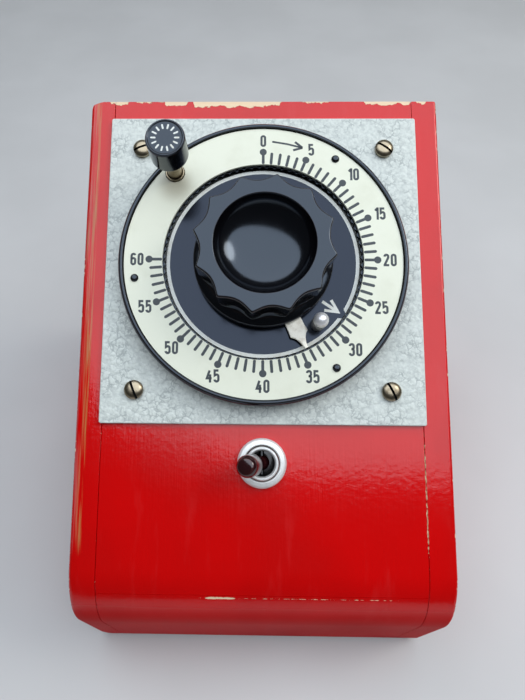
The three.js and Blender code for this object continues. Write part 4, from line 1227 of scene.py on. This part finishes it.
@dataclass
class DialFace:
    """The hammered plate, the bezel with its toothed crown, the printed scale, their screws and rivets."""

    panel: Place
    plate: float = 120.2
    corner: float = 0.8
    screw: float = 47.3
    drop: float = 0.5
    slot_turns: tuple[float, ...] = (20.0, -35.0, -68.0, -64.0)
    button: tuple[float, float] = BUTTON
    teeth: int = 80
    tooth: float = 0.55
    bore: float = 36.9
    scale_top: float = 8.7
    dots: float = 42.0
    ink: float = 0.03
    rivets: tuple[float, ...] = (34.7, 146.5, 261.4)

    def screw_places(self) -> list[tuple[float, float]]:
        """Places of the plate's screws: left and right of the upper row, then of the lower row."""
        return [(i * self.screw, j * self.screw - self.drop) for i, j in ((-1, 1), (1, 1), (-1, -1), (1, -1))]

    def build(self, shop: Shop, inks: dict[str, bpy.types.Material]) -> None:
        """Makes and dresses the face.

        Args:
            shop: Takes the pieces.
            inks: The printing inks.
        """
        half, r = self.plate / 2, self.corner
        angle = np.radians(np.linspace(0, 90, 7))
        corners = []
        for quarter, side in enumerate([(1, 1), (-1, 1), (-1, -1), (1, -1)]):
            turn = angle + quarter * np.pi / 2
            corners.append(np.array(side) * (half - r) + r * np.stack([np.cos(turn), np.sin(turn)], 1))
        sheet = Shell().prism(np.concatenate(corners), 0.3, 1.8, 0.4).mesh("plate", self.panel)
        holes = [rod(self.panel, 6.0, -1, 3), rod(self.panel.at(*self.button), STEM_BORE, -1, 3)]
        holes += [rod(self.panel.at(x, y), SCREW_BORE, -1, 3, 24) for x, y in self.screw_places()]
        shop.piece("hammered_plate", bored(sheet, holes), Slot.HAMMERED, Body.CASE, "faceplate")

        for i, ((x, y), turn) in enumerate(zip(self.screw_places(), self.slot_turns)):
            # A value of -1 paints the slot floors of the plate screws fully near-black, as shade.
            head = slotted_head(3.5, 3.2, 4.35, 0.45, 1.3, 2.1, slot_shade=-1.0)
            head.lathe(softened([[0, 2.2], [1.5, 2.2], [1.5, -3.6], [0, -5.0]], 0.1), 24)
            mesh = head.mesh("screw", self.panel.at(x, y).spun(turn - 90.0))
            shop.piece(f"plate_screw_{i + 1}", mesh, Slot.NICKEL, Body.CASE, f"faceplate_screw_{i + 1}")
        self.build_bezel(shop)
        self.build_scale(shop, inks)

    def crown(self, radius: Array, height: Array, angle: Array) -> Array:
        """The radius of the crown: teeth point inwards as triangles between the heights of the crown."""
        phase = np.abs((angle * self.teeth / (2 * np.pi)) % 1.0 - 0.5) * 2
        point = np.clip(1 - phase / 0.62, 0, 1)
        toothed = (height > 5.69) & (height < 7.01) & (radius < self.bore + 0.01)
        return np.where(toothed, radius - self.tooth * point, radius)

    def build_bezel(self, shop: Shop) -> None:
        """Makes the bezel: a rounded rim, a flat under the scale and a bore with the toothed crown."""
        outer = softened([[self.bore + 1.4, 2.1], [53.5, 2.1], [53.5, 8.7], [52.7, 9.6], [51.75, 9.6], [51.75, 7.5],
                          [self.bore, 7.5]], [0, 0.3, 0.55, 0.5, 0.35, 0.2, 0])
        bore = np.array([[self.bore + step, z, 0.0]
                         for step, z in ((0, 7.02), (0, 7.0), (0, 5.7), (0.5, 5.7), (1.4, 5.7))])
        ring = Shell().lathe(np.concatenate([outer, bore]), self.teeth * 6, self.crown, closed=True)
        mesh = bored(ring.mesh("bezel", self.panel), [rod(self.panel.at(*self.button), STEM_BORE, 0, 12)])
        shop.piece("bezel_and_crown", mesh, Slot.BAKELITE, Body.CASE, "bezel_ring")

    def build_scale(self, shop: Shop, inks: dict[str, bpy.types.Material]) -> None:
        """Makes the scale sheet, its ticks, dots, numbers and arrow, and the rivets that hold it."""
        top, high = self.scale_top, self.scale_top + self.ink
        profile = softened([[37.1, top - 1], [51.4, top - 1], [51.4, top], [37.1, top]], 0.12, 3, closed=True)
        sheet = Shell().lathe(profile, 240, closed=True).mesh("scale", self.panel)
        mesh = bored(sheet, [rod(self.panel.at(*self.button), STEM_BORE, 0, 12)])
        shop.piece("scale_sheet", mesh, Slot.SCALE, Body.CASE, "scale_ring")

        print_shell, digits = Shell(), Digits()
        low = top - self.ink
        for second in range(61):
            way = np.array(on_clock(4.5 * second, 1.0))
            print_shell.prism(stadium(way * 37.7, way * (self.dots if second % 5 == 0 else 41.4), 0.53), low, high)
            if second % 5 == 0:
                print_shell.prism(stadium(way * self.dots, way * (self.dots + 0.01), 1.34), low, high + 0.004)
                count = str(second)
                lift = 46.5 + (0.4 if second in (10, 30) else 0.0)
                digits.write(print_shell, count, *(way * lift + (0.35 if second in (5, 10) else 0.0, 0.0)), low, high)
        shaft, tip = np.array([3.4, 46.2]), np.array([14.6, 43.8])
        ahead = (tip - shaft) / np.linalg.norm(tip - shaft)
        left = np.array([-ahead[1], ahead[0]])
        print_shell.grid(strip(np.array([shaft, (shaft + tip) / 2 + left * 0.25, tip]), 0.72, low, high), caps=True)
        for sign in (-1, 1):
            barb = tip - ahead * 3.0 + sign * left * 1.7
            print_shell.grid(strip(np.array([barb, tip + ahead * 0.25]), 0.85, low, high), caps=True)
        shop.piece("scale_print", print_shell.mesh("print", self.panel), Slot.SCALE, Body.CASE,
                   material=inks["scale_ink"], crease=20)

        head = softened([[0, 7.7], [0.7, 7.7], [0.7, top + 0.02], [1.5, top + 0.02], [1.45, top + 0.35],
                         [0.9, top + 0.95], [0, top + 1.1]], 0.25)
        for i, clock in enumerate(self.rivets):
            spot = self.panel.at(*on_clock(clock, 47.7))
            rivet = Shell().lathe(head, 32).mesh("rivet", spot)
            shop.piece(f"scale_pin_{i + 1}", rivet, Slot.BAKELITE, Body.CASE, f"scale_rivet_{i + 1}")


@dataclass
class Dial:
    """What turns: the black disc with its white band and arrow, the fluted knob, the pin and the preset finger."""

    panel: Place
    radius: float = 36.2
    top: float = 5.5
    flutes: int = 12
    flute: float = 2.65
    turn: float = 10.0
    base: float = 8.9
    high: float = 28.0
    rest: float = 124.2
    pin: tuple[float, float] = (139.5, 31.0)
    finger: float = 154.3

    def build(self, shop: Shop, inks: dict[str, bpy.types.Material]) -> None:
        """Makes and dresses the turning parts.

        Args:
            shop: Takes the pieces.
            inks: The printing inks and the pin's finish.
        """
        profile = softened([[3.3, 3.5], [self.radius, 3.5], [self.radius, self.top], [3.3, self.top]], 0.15, 3,
                           closed=True)
        disc = Shell().lathe(profile, 192, closed=True).mesh("disc", self.panel)
        shop.piece("black_disc", disc, Slot.BAKELITE, Body.DIAL, "dial_disc", material=inks["disc_black"])
        shop.piece("disc_print", self.printed().mesh("print", self.panel), Slot.BAKELITE, Body.DIAL,
                   material=inks["dial_ink"], crease=20)

        shop.piece("fluted_knob", self.knob().mesh("knob", self.panel), Slot.BAKELITE, Body.DIAL, "setting_knob")
        hub = softened([[3.3, 5.8], [7.6, 5.8], [7.6, 8.6], [3.3, 8.6]], 0.2, closed=True)
        hub_bush = Shell().lathe(hub, 64, closed=True).mesh("hub", self.panel)
        shop.piece("hub_bush", hub_bush, Slot.BRASS, Body.DIAL, "knob_hub")

        ball = np.radians(np.linspace(-38, 90, 15))
        dome = np.stack([2.75 * np.cos(ball), 14.6 + 2.75 * np.sin(ball), 0 * ball], 1)
        foot = softened([[0, 3.7], [1.2, 3.7], [1.2, 5.8], [2.6, 5.8], [2.6, 11.3], [2.1, 11.9], [2.1, 12.8]], 0.2)
        # The shaft below the dome gets a wear value below 0: a painted shadow under the ball, mixed partway to
        # near-black.
        foot[:, 2] = -0.4
        pin = Shell().lathe(np.concatenate([foot, dome]), 48).mesh("pin", self.panel.at(*on_clock(*self.pin)))
        shop.piece("round_pin", pin, Slot.NICKEL, Body.DIAL, "index_pin", material=inks["pin_painted_sheen"])
        leaf = self.leaf().mesh("leaf", self.panel.spun(-self.finger))
        shop.piece("preset_leaf", leaf, Slot.IVORY, Body.PRESET, "preset_finger")

    def scallop(self, radius: Array, height: Array, angle: Array) -> Array:
        """The knob's radius: each flute is a hollow 1 - p^2 deep across its pitch, with slightly rounded tips.

        Args:
            radius: Radius of the turned profile.
            height: Height above the wood.
            angle: Angle anticlockwise from +X.

        Returns:
            The radius with the flutes cut in.
        """
        p = ((np.pi / 2 - angle - np.radians(self.turn)) * self.flutes / (2 * np.pi)) % 1.0 * 2 - 1
        hollow = np.sqrt((1 - p**2) ** 2 + 0.006) - 0.05
        low = np.clip((height - (self.base + 3.0)) / 1.6, 0, 1)
        outside = np.clip((radius - 17.6) / 3.2, 0, 1)
        return radius - self.flute * hollow * outside * low**0.7

    def knob(self) -> Shell:
        """The knob: a round flange, fluted sides, a flat ring on top and a deep dish."""
        base, high = self.base, self.high
        corners = [[0, 15.3], [3.3, 15.3], [3.3, base], [25.0, base], [25.5, base + 0.5], [25.5, base + 2.2],
                   [23.2, base + 3.4], [23.4, base + 4.4], [24.2, base + 8.0], [24.4, high], [17.3, high],
                   [16.85, high - 0.9]]
        reach = [0, 0.2, 0.2, 0.3, 0.25, 0.6, 0.6, 0.5, 1.2, 0.9, 0.3, 0]
        share = np.linspace(0.985, 0.0, 26)
        angle = share * np.pi / 2
        dish = np.stack([17.0 * np.sin(angle), high - 0.35 - 8.45 * np.cos(angle), 0 * share], 1)
        return Shell().lathe(np.concatenate([softened(corners, reach, 5)[:-1], dish]), self.flutes * 18, self.scallop)

    def printed(self) -> Shell:
        """The white band round the disc, open at the mark, and the arrow that points to it."""
        shell, low, high = Shell(), self.top - 0.04, self.top + 0.04
        inner, outer = 34.75, 36.05
        span = 0.5 + 0.5 * np.linspace(-1, 1, 361)
        clocks = [self.rest + gap + span * (360 - 2 * gap) for gap in (3.3, 1.9)]
        way = [np.stack([np.sin(np.radians(c)), np.cos(np.radians(c))], 1) * r for c, r in zip(clocks, (inner, outer))]
        corners = [(way[0], low), (way[0], high), (way[1], high), (way[1], low)]
        shell.grid(np.stack([np.column_stack([flat, np.full(len(flat), z)]) for flat, z in corners], 1), caps=True)
        ahead = np.array(on_clock(self.rest, 1.0))
        left = np.array([-ahead[1], ahead[0]])
        tip = ahead * 33.6
        shell.grid(strip(np.array([ahead * 26.6, ahead * 32.6]), 1.1, low, high), caps=True)
        head = np.array([tip - ahead * 4.6 + left * 2.3, tip, tip - ahead * 4.6 - left * 2.3])
        return shell.grid(strip(head, 1.1, low, high + 0.004), caps=True)

    @staticmethod
    def leaf() -> Shell:
        """The preset finger: a hub ring, and a leaf that narrows in a hollow curve from its shoulders to its point."""
        low, thick = 7.3, 0.8
        q = np.linspace(0, 1, 13)
        first, middle, last = (1 - q) ** 2, 2 * q * (1 - q), q**2
        run = np.concatenate([[11.0, 18.0, 24.0, 28.2, 29.9], first * 30.5 + middle * 31.9 + last * 36.1])
        half = np.concatenate([[3.3, 3.2, 3.05, 3.25, 3.42], first * 3.4 + middle * 1.1 + last * 0.62])
        across = np.array([-1, -1, -0.94, -0.8, -0.4, 0, 0.4, 0.8, 0.94, 1, 1])
        lift = np.array([0, 0.6, 0.88, 0.97, 1.0, 1.0, 1.0, 0.97, 0.88, 0.6, 0])
        x = half[:, None] * across[None]
        grid = np.stack([x, run[:, None] + 0 * x, low + thick * lift[None] + 0 * x], -1)
        wear = np.clip((np.abs(across) - 0.85) * 8, 0, 1)[None] * np.ones((len(run), 1))
        shell = Shell().grid(grid, wear, caps=True)
        under, over = low + 0.02, low + thick - 0.02
        ring = softened([[8.4, under], [13.0, under], [13.0, over], [8.4, over]], 0.15, 3, closed=True)
        return shell.lathe(ring, 96, closed=True)


@dataclass
class StartControl:
    """The tall start button on its bright plunger, and the bush that guides it."""

    panel: Place
    place: tuple[float, float] = BUTTON
    radius: float = 6.7
    low: float = 22.5
    high: float = 33.5
    bars: int = 14

    def build(self, shop: Shop, inks: dict[str, bpy.types.Material]) -> None:
        """Makes and dresses the button, its printed ring, the plunger and the bush.

        Args:
            shop: Takes the pieces.
            inks: The printing inks.
        """
        r, low, high, spot = self.radius, self.low, self.high, self.panel.at(*self.place)
        cap = softened([[0, low + 7], [2.95, low + 7], [2.95, low], [r - 0.2, low], [r, low + 0.35], [r, high - 0.7],
                        [r - 0.35, high - 0.05], [r - 0.75, high - 0.05], [r - 1.05, high - 0.35], [0, high - 0.4]],
                       [0, 0.2, 0.2, 0.2, 0.3, 0.3, 0.25, 0.25, 0.3, 0])
        shop.piece("button_cap", Shell().lathe(cap, 96).mesh("cap", spot), Slot.BAKELITE, Body.START, "start_button")
        marks = Shell()
        for k in range(self.bars):
            way = np.array(on_clock(360.0 * (k + 0.5) / self.bars, 1.0))
            marks.prism(stadium(way * 3.35, way * 4.55, 0.3), high - 0.45, high - 0.34)
        shop.piece("button_print", marks.mesh("marks", spot), Slot.BAKELITE, Body.START,
                   material=inks["dial_ink"], crease=20)
        stem = softened([[0, -33.7], [1.9, -33.7], [1.9, -12.0], [5.0, -12.0], [5.0, -11.0], [2.7, -11.0],
                         [2.7, low + 6.7], [0, low + 6.7]], 0.2)
        shop.piece("button_stem", Shell().lathe(stem, 48).mesh("stem", spot), Slot.NICKEL, Body.START, "start_plunger")
        bush = softened([[2.95, -4], [3.5, -4], [3.5, 9.4], [2.95, 9.4]], 0.15, 3, closed=True)
        guide = Shell().lathe(bush, 64, closed=True).mesh("bush", spot)
        shop.piece("stem_bush", guide, Slot.NICKEL, Body.CASE, "plunger_bush")


@dataclass
class ToggleSwitch:
    """The round nut, the threaded bush, the pivot pin and the lever of the lamp switch."""

    panel: Place
    y: float = TOGGLE_Y
    pivot: float = -1.5
    lean: float = -20.5
    reach: float = 18.0
    pitch: float = 0.55

    def build(self, shop: Shop) -> None:
        """Makes and dresses the switch.

        Args:
            shop: Takes the pieces.
        """
        spot = self.panel.at(0, self.y)
        nut = softened([[6.45, 0.3], [9.0, 0.3], [9.0, 1.5], [8.2, 2.3], [6.75, 2.5], [6.45, 2.1]],
                       [0.1, 0.15, 0.4, 0.4, 0.2, 0.1], 5, closed=True)
        ring = Shell().lathe(nut, 128, closed=True).mesh("nut", spot)
        shop.piece("ring_nut", ring, Slot.ALUMINIUM, Body.CASE, "toggle_ring_nut")
        # Wear values below 0 paint shade down the bush's bore: partway on the threads, near-black on the tube's first
        # row.
        threads = np.array([[r, 3.1 - self.pitch * (k + part), -0.3]
                            for k in range(6) for r, part in ((6.0, 0.0), (5.72, 0.5))])
        tube = softened([[4.6, -8.3], [6.0, -8.3], [6.0, -0.4]], 0.1)
        mouth = softened([[6.0, 3.1], [5.75, 3.6], [5.15, 3.6], [4.7, 2.9], [4.6, 2.2], [4.6, -8.3]], 0.2)
        # The mouth gets light painted shade, and its inner rows near-black painted shade.
        mouth[:, 2] -= 0.25
        mouth[-6:, 2] = -1.0
        tube[0, 2] = -1.0
        bush = np.concatenate([tube, threads[::-1], mouth])
        threaded = Shell().lathe(bush, 96, closed=True).mesh("bush", spot)
        shop.piece("threaded_bush", threaded, Slot.ALUMINIUM, Body.CASE, "toggle_bushing")
        arm = self.panel.at(0, self.y, self.pivot).leaning(self.lean)
        end = self.reach
        bat = softened([[0, -4], [2.4, -2.2], [2.9, 0], [2.3, 2.6], [2.05, 6.0], [2.3, 8.9], [3.75, 9.6], [3.95, 10.6],
                        [3.85, end - 2.2], [2.9, end - 0.5], [0, end]],
                       [0, 0.6, 0.8, 0.8, 1.0, 0.5, 0.25, 0.5, 1.0, 1.0, 0], 5)
        hole = rod(Place(arm.origin, arm.across, -arm.out, arm.up), 1.2, -5, 5, 32)
        lever = bored(Shell().lathe(bat, 64).mesh("lever", arm), [hole])
        shop.piece("lever", lever, Slot.MOULDED, Body.TOGGLE, "toggle_lever")
        along = self.panel.at(0, self.y, self.pivot)
        sideways = Place(along.origin, along.across, -along.out, along.up)
        along_pin = softened([[0, -4.4], [0.9, -4.4], [0.9, 4.4], [0, 4.4]], 0.2)
        # The whole pivot pin carries a wear value below 0: painted shade that darkens it deep inside the bush.
        along_pin[:, 2] = -0.45
        pin = Shell().lathe(along_pin, 32)
        shop.piece("lever_pin", pin.mesh("pin", sideways), Slot.STEEL, Body.CASE, "toggle_pivot_pin")


# ---------- the room ----------


@dataclass
class Studio:
    """A pale floor, soft lights and the camera."""

    panel: Place
    eye: tuple[float, float, float] = (-5.65, -55.8, 186.8)
    look: tuple[float, float, float] = (-0.01614, 0.58252, -0.81266)
    above: tuple[float, float, float] = (-0.00666, 0.81268, 0.58267)
    lens: float = 25.714
    shift: tuple[float, float] = (0.0336, -0.0065)

    def build(self) -> None:
        """Makes the room."""
        self.build_camera()
        self.build_floor()
        self.light("sky_panel", 5.0, 28.0, 1.0, (2.3, 1.5), 18.0, (0.90, 0.97, 1.07), -19.0)
        self.light("key_panel", 52.0, 34.0, 1.2, (0.5, 0.5), 3.6, (1.0, 0.96, 0.90))
        scene = bpy.context.scene
        scene.world = bpy.data.worlds.new("room")
        scene.world.use_nodes = True
        back = scene.world.node_tree.nodes["Background"]
        back.inputs["Color"].default_value = (0.92, 0.96, 1.0, 1.0)
        back.inputs["Strength"].default_value = 0.045
        scene.view_settings.view_transform = "Standard"

    def build_camera(self) -> None:
        """Makes the camera at its place above the panel."""
        look, above = np.array(self.look), np.array(self.above)
        look, side = look / np.linalg.norm(look), np.cross(look, above)
        side /= np.linalg.norm(side)
        basis = np.stack([side, np.cross(side, look), -look], 1)
        data = bpy.data.cameras.new("camera")
        data.sensor_width, data.lens = 36.0, self.lens
        data.shift_x, data.shift_y = self.shift
        data.clip_start = 0.01
        camera = bpy.data.objects.new("camera", data)
        matrix = np.eye(4)
        matrix[:3, :3], matrix[:3, 3] = basis, self.panel.metres(np.array(self.eye))
        camera.matrix_world = Matrix(matrix.tolist())
        bpy.context.scene.collection.objects.link(camera)
        bpy.context.scene.camera = camera

    def light(self, name: str, right: float, up: float, far: float, size: tuple[float, float], watts: float,
              colour: Colour, roll: float = 0.0) -> None:
        """Adds a soft oval light that faces the dial.

        Args:
            name: Name of the light.
            right: Its direction from the panel's normal towards +X, in degrees.
            up: Its direction from the panel's normal up the slope, in degrees.
            far: Distance in metres.
            size: Width and height in metres.
            watts: Power.
            colour: Colour.
            roll: Turn about its own axis, in degrees.
        """
        way = np.array([np.tan(np.radians(right)), np.tan(np.radians(up)), 1.0])
        way /= np.linalg.norm(way)
        out = way @ np.stack([self.panel.across, self.panel.up, self.panel.out])
        side = np.cross(self.panel.up, out)
        side /= np.linalg.norm(side)
        side = np.cos(np.radians(roll)) * side + np.sin(np.radians(roll)) * np.cross(out, side)
        data = bpy.data.lights.new(name, "AREA")
        data.shape, data.size, data.size_y = "ELLIPSE", *size
        data.energy, data.color = watts, colour
        lamp = bpy.data.objects.new(name, data)
        matrix = np.eye(4)
        matrix[:3, :3] = np.stack([side, np.cross(out, side), out], 1)
        matrix[:3, 3] = self.panel.origin + out * far
        lamp.matrix_world = Matrix(matrix.tolist())
        bpy.context.scene.collection.objects.link(lamp)

    @staticmethod
    def build_floor() -> None:
        """Makes a wide pale floor with a faint unevenness of tone."""
        t = np.linspace(-3000.0, 3000.0, 7)
        x, y = np.meshgrid(t, t)
        ground = Place(np.zeros(3), *np.eye(3))
        mesh = bpy.data.meshes.new("floor")
        shell = Shell().grid(np.stack([x, y, 0 * x - 0.05], -1), columns=False)
        mesh.from_pydata(ground.metres(np.concatenate(shell.points)), [], shell.faces)
        material = bpy.data.materials.new("floor")
        material.use_nodes = True
        w = Wiring(material.node_tree)
        shader = material.node_tree.nodes["Principled BSDF"]
        tone = w.between(w.noise(w.millimetres(), 0.01, 3.0), 0.3, 0.7)
        w.feed(shader.inputs["Base Color"], w.mixed(tone, (0.56, 0.56, 0.55), (0.60, 0.60, 0.59)))
        w.feed(shader.inputs["Roughness"], 0.55)
        mesh.materials.append(material)
        floor = bpy.data.objects.new("floor", mesh)
        bpy.context.scene.collection.objects.link(floor)


def dress_carried(shop: Shop) -> None:
    """Gives every plain node that is still shown the finish of its slot.

    Args:
        shop: Holds the materials.
    """
    wanted = {row["node"]: Slot(row["material_slot"]) for row in frame["record"]["subparts"]}
    for name, node in frame["nodes"].items():
        if node.hide_render:
            continue
        node.data.materials.clear()
        node.data.materials.append(shop.materials[wanted[name]])
        log.info("%s: carried over in %s", name, wanted[name].value)


def main() -> None:
    """Builds the room, the case, the dial, the button and the switch."""
    logging.basicConfig(level=logging.INFO, format="%(name)s %(message)s")
    case, panel = case_place(), panel_place()
    Studio(panel).build()
    effects = Effects()
    shop = Shop({slot: finish.material(effects) for slot, finish in finishes(panel, case).items()})
    inks = {name: finish.material(effects) for name, finish in extra_finishes().items()}
    face = DialFace(panel)
    WoodenCase(case, panel).build(shop, face)
    face.build(shop, inks)
    Dial(panel).build(shop, inks)
    StartControl(panel).build(shop, inks)
    ToggleSwitch(panel).build(shop)
    dress_carried(shop)


if __name__ == "__main__":
    main()
